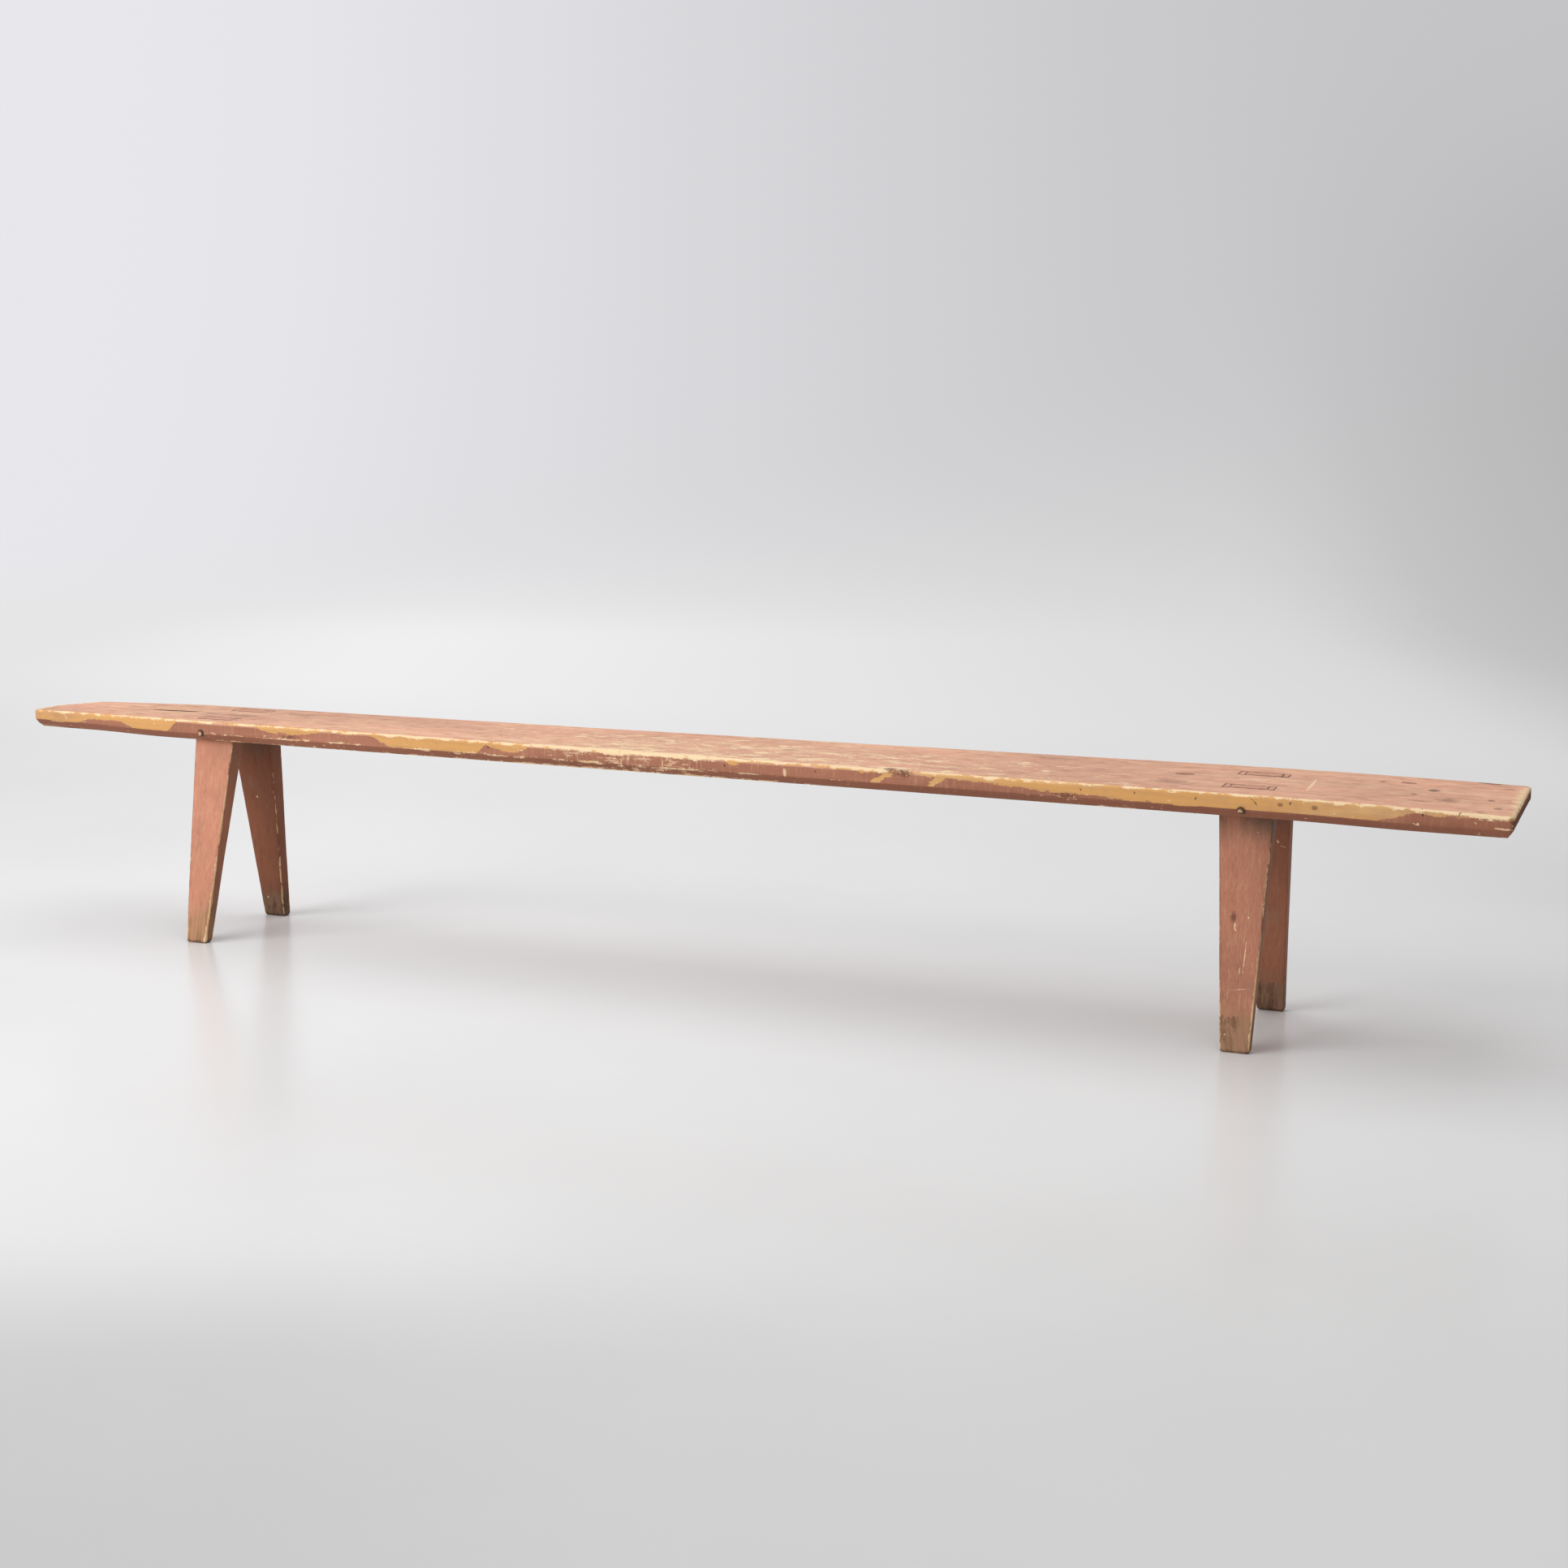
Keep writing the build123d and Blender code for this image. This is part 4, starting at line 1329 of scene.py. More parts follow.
# Pale scratches: start, end, width
SEAT_SCRATCHES = (
    ((1.150, -0.066, 0.449), (1.147, 0.052, 0.449), 0.0060),
    ((1.430, -0.163, 0.4365), (1.449, -0.164, 0.4215), 0.0026),
    ((1.436, -0.163, 0.4300), (1.452, -0.164, 0.4250), 0.0018),
    ((1.470, -0.163, 0.4235), (1.500, -0.164, 0.4225), 0.0032),
    ((0.216, -0.136, 0.4390), (0.218, -0.136, 0.4225), 0.0072),
    ((-1.262, -0.020, 0.450), (-1.165, -0.010, 0.450), 0.0060),
    ((-1.215, -0.036, 0.450), (-1.120, -0.030, 0.450), 0.0050),
    ((-0.965, -0.015, 0.450), (-0.900, -0.020, 0.450), 0.0045),
    ((1.020, 0.006, 0.450), (1.070, 0.010, 0.450), 0.0100),
    ((-0.138, 0.043, 0.450), (-0.104, 0.057, 0.450), 0.0120),
    ((0.020, 0.062, 0.450), (0.058, 0.087, 0.450), 0.0120),
    ((-0.007, 0.005, 0.450), (0.031, -0.016, 0.450), 0.0110),
    ((0.052, -0.007, 0.450), (0.167, 0.023, 0.450), 0.0100),
)
# Dark cracks over the front edge and along the worn split: start, end, width
SEAT_CRACKS = (
    ((1.069, -0.152, 0.449), (1.090, -0.156, 0.424), 0.0017),
    ((-1.275, -0.001, 0.448), (-1.148, 0.010, 0.448), 0.0060),
)
CHECK_WIDTH = 0.0034
# Where the front edge runs: half the plank's width at its narrow end, and what it gains to the wide
EDGE_HALF, EDGE_GAIN = 0.097, 0.067
# Widths of the dirt round the mortises, the tenons' ends and the wedges' heads
MORTISE_LINE, TENON_LINE, WEDGE_LINE = 0.0026, 0.0022, 0.0015
# How far down that dirt goes in the mortises, and on the tenons and wedges
MORTISE_DIRT, END_DIRT = 0.02, 0.004
# The shadowed mouth of a peg hole: how far off the peg's middle it lies, and its size
PEG_MOUTH = ((0.8 * MM, 0.5 * MM), (0.0112, 0.010, 0.0108))


def gathered(nodes, masks):
    """The greatest of several masks."""
    whole = masks[0]
    for mask in masks[1:]:
        whole = nodes.maths("MAXIMUM", whole, mask)
    return whole


def dusted(nodes, vector, paint, finish, amount):
    """The paint with the changes of tone and the specks that every painted piece has."""
    dark = (*finish.deep_paint, 1)
    dusty = nodes.group(dust_and_dirt(), vector=vector, colour=paint, dark=dark, amount=amount)
    return dusty["Colour"]


def spot_at(nodes, place, rough, centre, size, ragged):
    """The mask and the ring of one spot, frayed by the rough noise."""
    return nodes.group(spot(), vector=place, rough=rough, centre=centre, size=size, ragged=ragged)


def lines_drawn(nodes, shaken, lines):
    """A mask for each line of a table that holds start, end and width."""
    return [
        nodes.group(scratch(), vector=shaken, start=start, end=end, width=width)["Mask"]
        for start, end, width in lines
    ]


def border_mask(nodes, place, rough, sides, deep, width):
    """The dirty line round a part of a joint that shows on the top of the seat."""
    x0, x1, y0, y1 = sides
    centre = ((x0 + x1) / 2, (y0 + y1) / 2, SEAT_HIGH.z)
    half = ((x1 - x0) / 2, (y1 - y0) / 2, deep)
    inputs = {"centre": centre, "half": half, "width": width}
    return nodes.group(joint_line(), vector=place, rough=rough, **inputs)["Mask"]


def seat_material(finish):
    """Worn pink paint over ochre and scrubbed pine, for the plank, with painted shade on the bevel
    and at the ends.
    """
    material, nodes, shader, place = new_material("Plank Paint")
    grain = nodes.group(pine_grain(), vector=place, heart=(0, 0.03, 0.30), spacing=0.011)
    rings, fibre = grain["Rings"], grain["Fibre"]
    side_face, bevel = nodes.marked("side_face"), nodes.marked("bevel")
    rough, shaken = rough_and_shaken(nodes, place)

    top = nodes.mix(nodes.ease(rings, 0.2, 1.0, 0.0, 0.10), finish.top_paint, finish.edge_paint)
    faded = nodes.noise(nodes.stretched(place, (2.2, 20, 20)), 1.0, 4.0, 0.6)
    top = nodes.mix(nodes.ease(faded, 0.40, 0.66, 0.0, 0.22), top, finish.cream)
    dappled = nodes.noise(nodes.stretched(place, (26, 58, 58)), 1.0, 4.0, 0.62)
    top = nodes.mix(nodes.ease(dappled, 0.48, 0.66, 0.0, 0.36), top, finish.edge_paint)
    top = nodes.mix(nodes.ease(dappled, 0.46, 0.32, 0.0, 0.26), top, finish.cream)
    top = nodes.mix(nodes.ease(fibre, 0.40, 0.75, 0.0, 0.20), top, finish.cream)
    edge = nodes.mix(nodes.ease(faded, 0.35, 0.70, 0.0, 0.34), finish.edge_paint, finish.paint)
    brushed = nodes.noise(nodes.stretched(place, (190, 60, 28)), 1.0, 4.0, 0.65)
    stroke = nodes.times_plus(nodes.marked("scuffed"), 0.24, 0.13)
    edge = nodes.over(nodes.ease(brushed, 0.50, 0.72), stroke, edge, finish.cream)
    edge = nodes.mix(nodes.ease(brushed, 0.46, 0.30, 0.0, 0.20), edge, finish.deep_paint)
    paint = nodes.mix(side_face, top, edge)
    # The down-facing bevel keeps the deep, unfaded paint, made darker than the face above as
    # painted shade
    paint = nodes.over(bevel, 0.75, paint, finish.deep_paint)
    end_grain = nodes.mix(0.30, finish.shade_paint, finish.grime_and_shade)
    paint = nodes.mix(nodes.marked("wide_end"), paint, end_grain)
    bare_under = nodes.mix(nodes.ease(rings, 0.1, 1.0, 0.15, 0.55), finish.wood, finish.deep_paint)
    paint = nodes.mix(nodes.marked("underside"), paint, bare_under)
    paint = dusted(nodes, place, paint, finish, 0.9)

    ochre = nodes.group(
        worn_away(), vector=place, wear=nodes.marked("ochre"), grain=fibre,
        limit=0.0, ragged=1.5, size=52.0, crisp=0.09, stretch=(0.6, 1, 1),
    )
    ochre_tone = nodes.mix(nodes.ease(rings, 0.2, 0.9, 0.0, 0.16), finish.ochre, finish.wood)
    ochre_tone = nodes.mix(nodes.ease(dappled, 0.50, 0.72, 0.0, 0.30), ochre_tone, finish.wood)
    ochre_tone = nodes.mix(nodes.ease(faded, 0.46, 0.72, 0.0, 0.30), ochre_tone, finish.cream)
    # Painted shade: the ochre turns toward the bare wood's tone near the plank's ends
    end_shade = nodes.times(nodes.marked("shaded_ends"), nodes.ease(dappled, 0.34, 0.58, 0.15, 0.65))
    ochre_tone = nodes.mix(end_shade, ochre_tone, finish.wood)
    colour_now = nodes.mix(ochre["Gone"], paint, ochre_tone)

    pale = nodes.mix(nodes.ease(dappled, 0.42, 0.66, 0.0, 0.55), finish.cream, finish.ochre)
    flecks = nodes.group(
        worn_away(), vector=place, grain=fibre,
        wear=nodes.times(nodes.marked("rubbed"), 0.33),
        limit=0.58 - 0.22 * finish.top_wear, ragged=2.0, size=17.0, crisp=0.08,
        stretch=(1, 1.7, 1.7),
    )
    bits = nodes.group(
        worn_away(), vector=place, grain=fibre,
        wear=nodes.times(nodes.marked("rubbed"), 0.20),
        limit=0.62 - 0.22 * finish.top_wear, ragged=2.3, size=40.0, crisp=0.08,
        stretch=(1, 1.5, 1.5),
    )
    bare = nodes.maths("MAXIMUM", flecks["Gone"], bits["Gone"])
    colour_now = nodes.over(bare, 0.97, colour_now, finish.cream)
    tip = nodes.group(
        worn_away(), vector=place, wear=nodes.marked("worn_tip"), grain=fibre,
        limit=0.62, ragged=2.2, size=26.0, crisp=0.12, stretch=(0.7, 2.6, 2.6),
    )
    colour_now = nodes.over(tip["Gone"], 0.90, colour_now, pale)
    smears = nodes.group(
        worn_away(), vector=place, grain=fibre,
        wear=nodes.times(nodes.marked("scuffed"), 0.50),
        limit=0.52, ragged=2.0, size=62.0, crisp=0.12, stretch=(0.6, 1, 1.6),
    )
    smeared = nodes.mix(0.42, finish.cream, finish.top_paint)
    colour_now = nodes.over(smears["Gone"], 0.64, colour_now, smeared)
    strokes = nodes.group(
        worn_away(), vector=place, grain=brushed,
        wear=nodes.times(nodes.marked("scuffed"), 0.42),
        limit=0.64, ragged=1.8, size=50.0, crisp=0.10, stretch=(2.4, 1, 0.8),
    )
    colour_now = nodes.over(strokes["Gone"], 0.72, colour_now, finish.cream)
    chips = nodes.group(
        worn_away(), vector=place, wear=nodes.marked("ledge"), grain=fibre,
        limit=0.58, ragged=2.1, size=58.0, crisp=0.09, stretch=(0.5, 1, 1),
    )
    colour_now = nodes.over(chips["Gone"], 0.85, colour_now, pale)
    scrubbed = nodes.group(
        worn_away(), vector=place, wear=nodes.marked("cream_band"), grain=fibre,
        limit=0.25 - 0.50 * finish.arris_wear, ragged=2.35, size=72.0, crisp=0.08,
        stretch=(0.6, 1, 1),
    )
    colour_now = nodes.mix(scrubbed["Gone"], colour_now, nodes.mix(0.20, finish.cream, pale))

    for centre, size, tone in SEAT_STAINS:
        stain = spot_at(nodes, place, rough, centre, size, 0.85)
        colour_now = nodes.over(stain["Mask"], tone, colour_now, finish.grime_and_shade)
    for centre, size in SEAT_CRAZED:
        crazed = spot_at(nodes, place, rough, centre, size, 0.7)
        colour_now = nodes.over(crazed["Mask"], 0.85, colour_now, finish.deep_paint)
        crackle = nodes.noise(place, 210.0, 3.0, 0.7)
        for start, end, tone in ((0.54, 0.64, finish.grime_and_shade), (0.42, 0.34, finish.cream)):
            part = nodes.times(crazed["Mask"], nodes.ease(crackle, start, end, 0.0, 0.8))
            colour_now = nodes.mix(part, colour_now, tone)
    for centre, size in SEAT_KNOTS:
        knot = spot_at(nodes, place, rough, centre, size, 0.45)
        colour_now = nodes.over(knot["Mask"], 0.75, colour_now, finish.deep_paint)
        colour_now = nodes.over(knot["Ring"], 0.55, colour_now, finish.grime_and_shade)

    checks = []
    for top_x, low_x, drop in SEAT_CHECKS:
        half = EDGE_HALF + (top_x + SEAT_HIGH.x) * EDGE_GAIN / (2 * SEAT_HIGH.x)
        checks.append(((top_x, -half + 0.008, 0.4495), (low_x, -half, 0.447 - drop), CHECK_WIDTH))
    lines = lines_drawn(nodes, shaken, (*checks, *SEAT_CRACKS))
    for end in ENDS:
        rim = border_mask(nodes, place, rough, mortise_sides(end), MORTISE_DIRT, MORTISE_LINE)
        lines.append(nodes.times(rim, 0.75))
        low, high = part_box(f"peg_{end}")
        (off_x, off_z), size = PEG_MOUTH
        mouth_y = low.y + PEG_PROUD if "front" in end else high.y - PEG_PROUD
        centre = ((low.x + high.x) / 2 + off_x, mouth_y, (low.z + high.z) / 2 + off_z)
        mouth = spot_at(nodes, place, rough, centre, size, 0.04)
        lines.append(mouth["Mask"])
    dark = gathered(nodes, lines)
    colour_now = nodes.over(dark, 0.88, colour_now, finish.grime_and_shade)
    scratched = gathered(nodes, lines_drawn(nodes, shaken, SEAT_SCRATCHES))
    colour_now = nodes.over(scratched, 0.75, colour_now, finish.cream)

    nodes.tree.links.new(colour_now, shader.inputs["Base Color"])
    worn = gathered(nodes, [scrubbed["Gone"], bare, ochre["Gone"], chips["Gone"]])
    satin = nodes.ease(fibre, 0.2, 0.8, 0.50, 0.64)
    satin = nodes.times_plus(nodes.marked("wide_end"), 0.34, satin)
    nodes.tree.links.new(nodes.times_plus(worn, -0.07, satin), shader.inputs["Roughness"])
    relief = nodes.times_plus(grain["Height"], 0.5, nodes.times(worn, -0.45))
    relief = nodes.times_plus(dark, -1.2, relief)
    relief = nodes.times_plus(nodes.noise(place, 260.0, 3.0, 0.6), 0.3, relief)
    relief = nodes.times_plus(dappled, 0.5, relief)
    bump(nodes, shader, relief, 0.5, 0.0008)
    shader.inputs["Specular IOR Level"].default_value = 0.22
    return material


def mortise_sides(end):
    """x and y ranges of a mortise at the top of the seat."""
    boxes = [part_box(f"wedge_{end}_{which}") for which in ("outer", "inner")]
    x0, x1 = min(low.x for low, _ in boxes), max(high.x for _, high in boxes)
    _, _, y0, y1 = section(f"wedge_{end}_outer", NEAR_TOP)
    return x0, x1, y0, y1


def upright_grain(nodes, place):
    """Coordinates turned so that the grain of an upright board runs along X."""
    split = nodes.add("ShaderNodeSeparateXYZ", {0: place}).outputs
    return nodes.combined(split["Z"], split["X"], split["Y"])


# Marks on the legs: a dark scar and a pale speck on the front right one, as centre and size, and
# pale scratches, as start, end and width
LEG_SCAR = ((1.0430, -0.122, 0.2300), (0.0078, 0.03, 0.0115))
LEG_SPECK = ((1.0691, -0.122, 0.2313), (0.0023, 0.03, 0.0023))
LEG_SCRATCHES = (
    ((1.0454, -0.1239, 0.2207), (1.0485, -0.1263, 0.2065), 0.0030),
    ((1.0683, -0.1286, 0.1924), (1.0651, -0.1382, 0.1357), 0.0019),
    ((1.0602, -0.1364, 0.1462), (1.0583, -0.1385, 0.1336), 0.0020),
    ((1.0420, -0.1432, 0.1059), (1.0794, -0.1424, 0.1108), 0.0012),
    ((1.0764, 0.0730, 0.3232), (1.1000, 0.0742, 0.3173), 0.0022),
    ((1.0779, 0.0705, 0.3355), (1.0807, 0.0726, 0.3250), 0.0032),
    ((-1.050, 0.080, 0.3200), (-1.046, 0.098, 0.2000), 0.0024),
    ((-1.074, -0.130, 0.2900), (-1.076, -0.140, 0.2400), 0.0022),
)


def leg_material(finish):
    """The same pink paint on upright boards, with brown feet and cream arrises, and painted shade
    on the inner faces, under the seat and on the right and back legs.
    """
    material, nodes, shader, place = new_material("Leg Paint")
    own = nodes.marked("own_grain")
    shift = nodes.vector("SCALE", nodes.combined(own, own, own), 3.7)
    upright = nodes.vector("ADD", upright_grain(nodes, place), shift)
    grain = nodes.group(pine_grain(), vector=upright, heart=(0, 0.4, -0.3), spacing=0.009)
    rings, fibre = grain["Rings"], grain["Fibre"]
    foot, head, arris = nodes.marked("foot"), nodes.marked("head"), nodes.marked("arris")
    sheltered_shade = nodes.marked("sheltered_shade")
    rough, shaken = rough_and_shaken(nodes, place)

    paint = nodes.mix(nodes.ease(rings, 0.2, 1.0, 0.0, 0.04), finish.paint, finish.deep_paint)
    # Unfaded paint and painted shade, by each leg's own amount
    paint = nodes.mix(nodes.marked("unfaded_and_shaded"), paint, finish.deep_paint)
    streaked = nodes.noise(nodes.stretched(upright, (11, 150, 150)), 1.0, 5.0, 0.7)
    paint = nodes.mix(nodes.ease(streaked, 0.50, 0.72, 0.0, 0.18), paint, finish.cream)
    paint = nodes.mix(nodes.ease(streaked, 0.47, 0.30, 0.0, 0.16), paint, finish.deep_paint)
    paint = nodes.mix(nodes.ease(fibre, 0.42, 0.8, 0.0, 0.16), paint, finish.cream)
    cloudy = nodes.noise(nodes.stretched(upright, (9, 15, 15)), 1.0, 4.0, 0.6)
    paint = nodes.mix(nodes.ease(cloudy, 0.54, 0.72, 0.0, 0.30), paint, finish.smoke_and_shade)
    # Painted shade on the inner and narrow side faces, from the shade paint, grey bloom and grime
    shade = nodes.mix(nodes.ease(cloudy, 0.52, 0.68, 0.0, 0.50), finish.shade_paint, finish.smoke_and_shade)
    shade = nodes.mix(nodes.ease(streaked, 0.46, 0.30, 0.0, 0.40), shade, finish.grime_and_shade)
    # Painted shade under the seat, deeper on the inner faces
    shade = nodes.over(head, 0.55, shade, finish.grime_and_shade)
    paint = nodes.mix(sheltered_shade, paint, shade)
    # Painted shade and grey dirt on each leg's top, under the seat
    top_shade = nodes.times(head, nodes.ease(cloudy, 0.30, 0.60, 0.25, 1.0))
    shade_under_seat = nodes.mix(0.30, finish.smoke_and_shade, finish.grime_and_shade)
    paint = nodes.over(top_shade, 0.72, paint, shade_under_seat)
    paint = dusted(nodes, upright, paint, finish, 0.9)

    bare = nodes.mix(nodes.ease(rings, 0.1, 0.9, 0.0, 0.18), finish.wood, finish.deep_paint)
    stained = nodes.noise(nodes.stretched(upright, (12, 55, 55)), 1.0, 5.0, 0.7)
    bare = nodes.mix(nodes.marked("foot_dirt"), bare, finish.smoke_and_shade)
    stain_depth = nodes.maths("ADD", nodes.marked("foot_dirt"), 0.42)
    stain = nodes.times(nodes.ease(stained, 0.44, 0.62, 0.05, 0.75), stain_depth)
    bare = nodes.mix(stain, bare, finish.grime_and_shade)
    # Painted shade on the bare and thinned wood of the inner and narrow side faces as well
    bare = nodes.over(sheltered_shade, 0.55, bare, finish.grime_and_shade)
    thinned = nodes.times(nodes.ease(foot, 0.36, 0.80), nodes.ease(stained, 0.30, 0.62, 0.15, 0.75))
    paint = nodes.mix(thinned, paint, nodes.mix(sheltered_shade, finish.wood, finish.grime_and_shade))
    feet = nodes.group(
        worn_away(), vector=upright, wear=foot, grain=fibre,
        limit=0.79 - 0.36 * finish.foot_wear, ragged=0.55, size=36.0, crisp=0.08,
        stretch=(0.7, 1, 1),
    )
    colour_now = nodes.over(feet["Gone"], 0.85, paint, bare)
    scrubbed = nodes.group(
        worn_away(), vector=upright, wear=nodes.times_plus(foot, 0.22, arris), grain=fibre,
        limit=0.83 - 0.26 * finish.arris_wear, ragged=1.2, size=42.0, crisp=0.08,
        stretch=(0.34, 1, 1),
    )
    rim = nodes.mix(nodes.ease(stained, 0.4, 0.6, 0.0, 0.7), finish.cream, finish.ochre)
    # Painted shade: less cream on the worn arrises of those faces
    rim = nodes.over(sheltered_shade, 0.45, rim, finish.wood)
    colour_now = nodes.over(scrubbed["Gone"], 0.9, colour_now, rim)
    sole = nodes.ease(nodes.times_plus(stained, 0.10, foot), 1.00, 1.04, 0.0, 0.60)
    colour_now = nodes.mix(sole, colour_now, finish.grime_and_shade)
    nicks = nodes.noise(nodes.stretched(upright, (38, 90, 90)), 1.0, 3.0, 0.6)
    colour_now = nodes.mix(nodes.ease(nicks, 0.715, 0.74, 0.0, 0.7), colour_now, finish.cream)
    scar = spot_at(nodes, place, rough, *LEG_SCAR, 0.9)
    colour_now = nodes.over(scar["Mask"], 0.65, colour_now, finish.grime_and_shade)
    speck = spot_at(nodes, place, rough, *LEG_SPECK, 0.1)
    scratched = gathered(nodes, [speck["Mask"], *lines_drawn(nodes, shaken, LEG_SCRATCHES)])
    colour_now = nodes.over(scratched, 0.75, colour_now, finish.cream)
    greyer = nodes.ease(streaked, 0.40, 0.60, 0.10, 0.34)
    # The tenon ends take the top paint, with its painted sheen
    tenon_end = nodes.mix(greyer, finish.top_paint, finish.smoke_and_shade)
    colour_now = nodes.over(nodes.marked("tenon"), 0.92, colour_now, tenon_end)
    colour_now = tenon_border(nodes, place, rough, colour_now, finish)

    nodes.tree.links.new(colour_now, shader.inputs["Base Color"])
    satin = nodes.ease(fibre, 0.2, 0.8, 0.52, 0.64)
    nodes.tree.links.new(nodes.times_plus(feet["Gone"], 0.12, satin), shader.inputs["Roughness"])
    worn = gathered(nodes, [scrubbed["Gone"], feet["Gone"]])
    relief = nodes.times_plus(grain["Height"], 0.55, nodes.times(worn, -0.3))
    relief = nodes.times_plus(nodes.noise(upright, 240.0, 3.0, 0.6), 0.25, relief)
    relief = nodes.times_plus(streaked, 0.6, relief)
    bump(nodes, shader, relief, 0.45, 0.0007)
    shader.inputs["Specular IOR Level"].default_value = 0.12
    return material


def tenon_border(nodes, place, rough, colour_now, finish):
    """Darkens the rim of each tenon's end, where dirt has gathered in the joint."""
    masks = []
    for end in ENDS:
        sides = section(f"leg_{end}", NEAR_TOP)
        masks.append(border_mask(nodes, place, rough, sides, END_DIRT, TENON_LINE))
    return nodes.over(gathered(nodes, masks), 0.6, colour_now, finish.grime_and_shade)


def wedge_material(finish):
    """Painted wedge heads: mostly pink, dirty round the rim and paler where they were crushed."""
    material, nodes, shader, place = new_material("Wedge Paint")
    upright = upright_grain(nodes, place)
    grain = nodes.group(pine_grain(), vector=upright, heart=(0, 0.1, -0.05), spacing=0.0035)
    rings, fibre = grain["Rings"], grain["Fibre"]
    # The wedge heads take the top paint, with its painted sheen
    paint = nodes.mix(nodes.ease(rings, 0.2, 0.9, 0.10, 0.35), finish.top_paint, finish.edge_paint)
    paint = dusted(nodes, upright, paint, finish, 1.0)
    rubbed = nodes.group(
        worn_away(), vector=upright, wear=nodes.noise(place, 95.0, 2.0), grain=fibre,
        limit=0.60, ragged=0.5, size=120.0, crisp=0.2, stretch=(1, 1, 1),
    )
    colour_now = nodes.over(rubbed["Gone"], 0.7, paint, finish.cream)
    rough, _ = rough_and_shaken(nodes, place)
    masks = []
    for end in ENDS:
        for which in ("outer", "inner"):
            sides = section(f"wedge_{end}_{which}", NEAR_TOP)
            masks.append(border_mask(nodes, place, rough, sides, END_DIRT, WEDGE_LINE))
    colour_now = nodes.over(gathered(nodes, masks), 0.85, colour_now, finish.grime_and_shade)
    nodes.tree.links.new(colour_now, shader.inputs["Base Color"])
    nodes.tree.links.new(nodes.ease(fibre, 0.2, 0.8, 0.52, 0.66), shader.inputs["Roughness"])
    bump(nodes, shader, nodes.times_plus(rubbed["Gone"], -0.4, grain["Height"]), 0.5, 0.0005)
    return material


def peg_material(finish):
    """Bare end grain with rings and a dirty rim, and old wood down the peg's side."""
    material, nodes, shader, place = new_material("Peg Wood")
    split = nodes.add("ShaderNodeSeparateXYZ", {0: place}).outputs
    along = nodes.combined(split["Y"], split["X"], split["Z"])
    grain = nodes.group(pine_grain(), vector=along, heart=(0, 0.004, 0.40), spacing=0.0016)
    rings = grain["Rings"]
    pores = nodes.noise(place, 900.0, 2.0, 0.6)
    colour_now = nodes.mix(nodes.ease(rings, 0.2, 0.9, 0.05, 0.45), finish.end_wood, finish.wood)
    colour_now = nodes.mix(nodes.ease(pores, 0.5, 0.7, 0.0, 0.35), colour_now, finish.deep_paint)
    paint_left = nodes.group(
        worn_away(), vector=place, wear=nodes.noise(place, 140.0, 3.0), grain=pores,
        limit=0.56, ragged=0.6, size=180.0, crisp=0.12, stretch=(1, 1, 1),
    )
    colour_now = nodes.over(paint_left["Gone"], 0.6, colour_now, finish.edge_paint)
    off_middle = nodes.times_plus(pores, 0.25, nodes.marked("rim"))
    dirty_rim = nodes.ease(off_middle, 0.74, 0.98, 0.0, 0.85)
    colour_now = nodes.mix(dirty_rim, colour_now, finish.grime_and_shade)
    nodes.tree.links.new(colour_now, shader.inputs["Base Color"])
    nodes.tree.links.new(nodes.ease(pores, 0.3, 0.7, 0.56, 0.7), shader.inputs["Roughness"])
    bump(nodes, shader, nodes.times_plus(pores, 0.6, grain["Height"]), 0.5, 0.0004)
    return material


# ---- Studio -------------------------------------------------------------------------------------
CAMERA_PLACE = (1.8157, -4.1230, 1.1535)
CAMERA_TURN = (0.3815, 0.1714, 0.0016)
# The camera's right-hand direction on the floor, as x and y. The floor's painted light and shade
# change along it
CAMERA_RIGHT = (0.928, 0.372)


class Studio(bpy.types.Operator):
    """Make the seamless pale floor, two soft lamps, the room light and the camera"""

    bl_idname = "bench.studio"
    bl_label = "Studio"

    def execute(self, context):
        studio = context.scene.bench_studio
        floor = sweep_floor()
        floor.data.materials.append(floor_material(studio))
        soft_lamp("key lamp", (-4.2, -4.6, 3.2), (-0.4, 0, 0.3), 4.6, studio.key_power)
        soft_lamp("fill lamp", (-0.2, 0.5, 4.2), (-0.2, 0.5, 0), 4.4, studio.fill_power)
        world = bpy.data.worlds.new("Room")
        world.use_nodes = True
        back = world.node_tree.nodes["Background"]
        back.inputs["Color"].default_value = (1, 1, 1, 1)
        back.inputs["Strength"].default_value = studio.sky
        context.scene.world = world
        context.scene.view_settings.view_transform = "Standard"
        context.scene.camera = bench_camera(studio.lens)
        return {"FINISHED"}


def sweep_floor():
    """A floor that curves up into a backdrop far behind the bench."""
    profile = [(y, 0.0) for y in np.linspace(-9, 6, 24)]
    radius = 4.0
    for angle in np.linspace(0, math.pi / 2, 24)[1:]:
        profile.append((6 + radius * math.sin(angle), radius * (1 - math.cos(angle))))
    profile += [(6 + radius, z) for z in np.linspace(5, 12, 8)]
    xs = np.linspace(-14, 14, 24)
    points = [(x, y, z) for y, z in profile for x in xs]
    across = len(xs)
    faces = []
    for row in range(len(profile) - 1):
        for i in range(across - 1):
            start = row * across + i
            faces.append((start, start + 1, start + across + 1, start + across))
    mesh = bpy.data.meshes.new("floor")
    mesh.from_pydata(points, [], faces)
    mesh.shade_smooth()
    floor = bpy.data.objects.new("floor", mesh)
    bpy.context.scene.collection.objects.link(floor)
    return floor


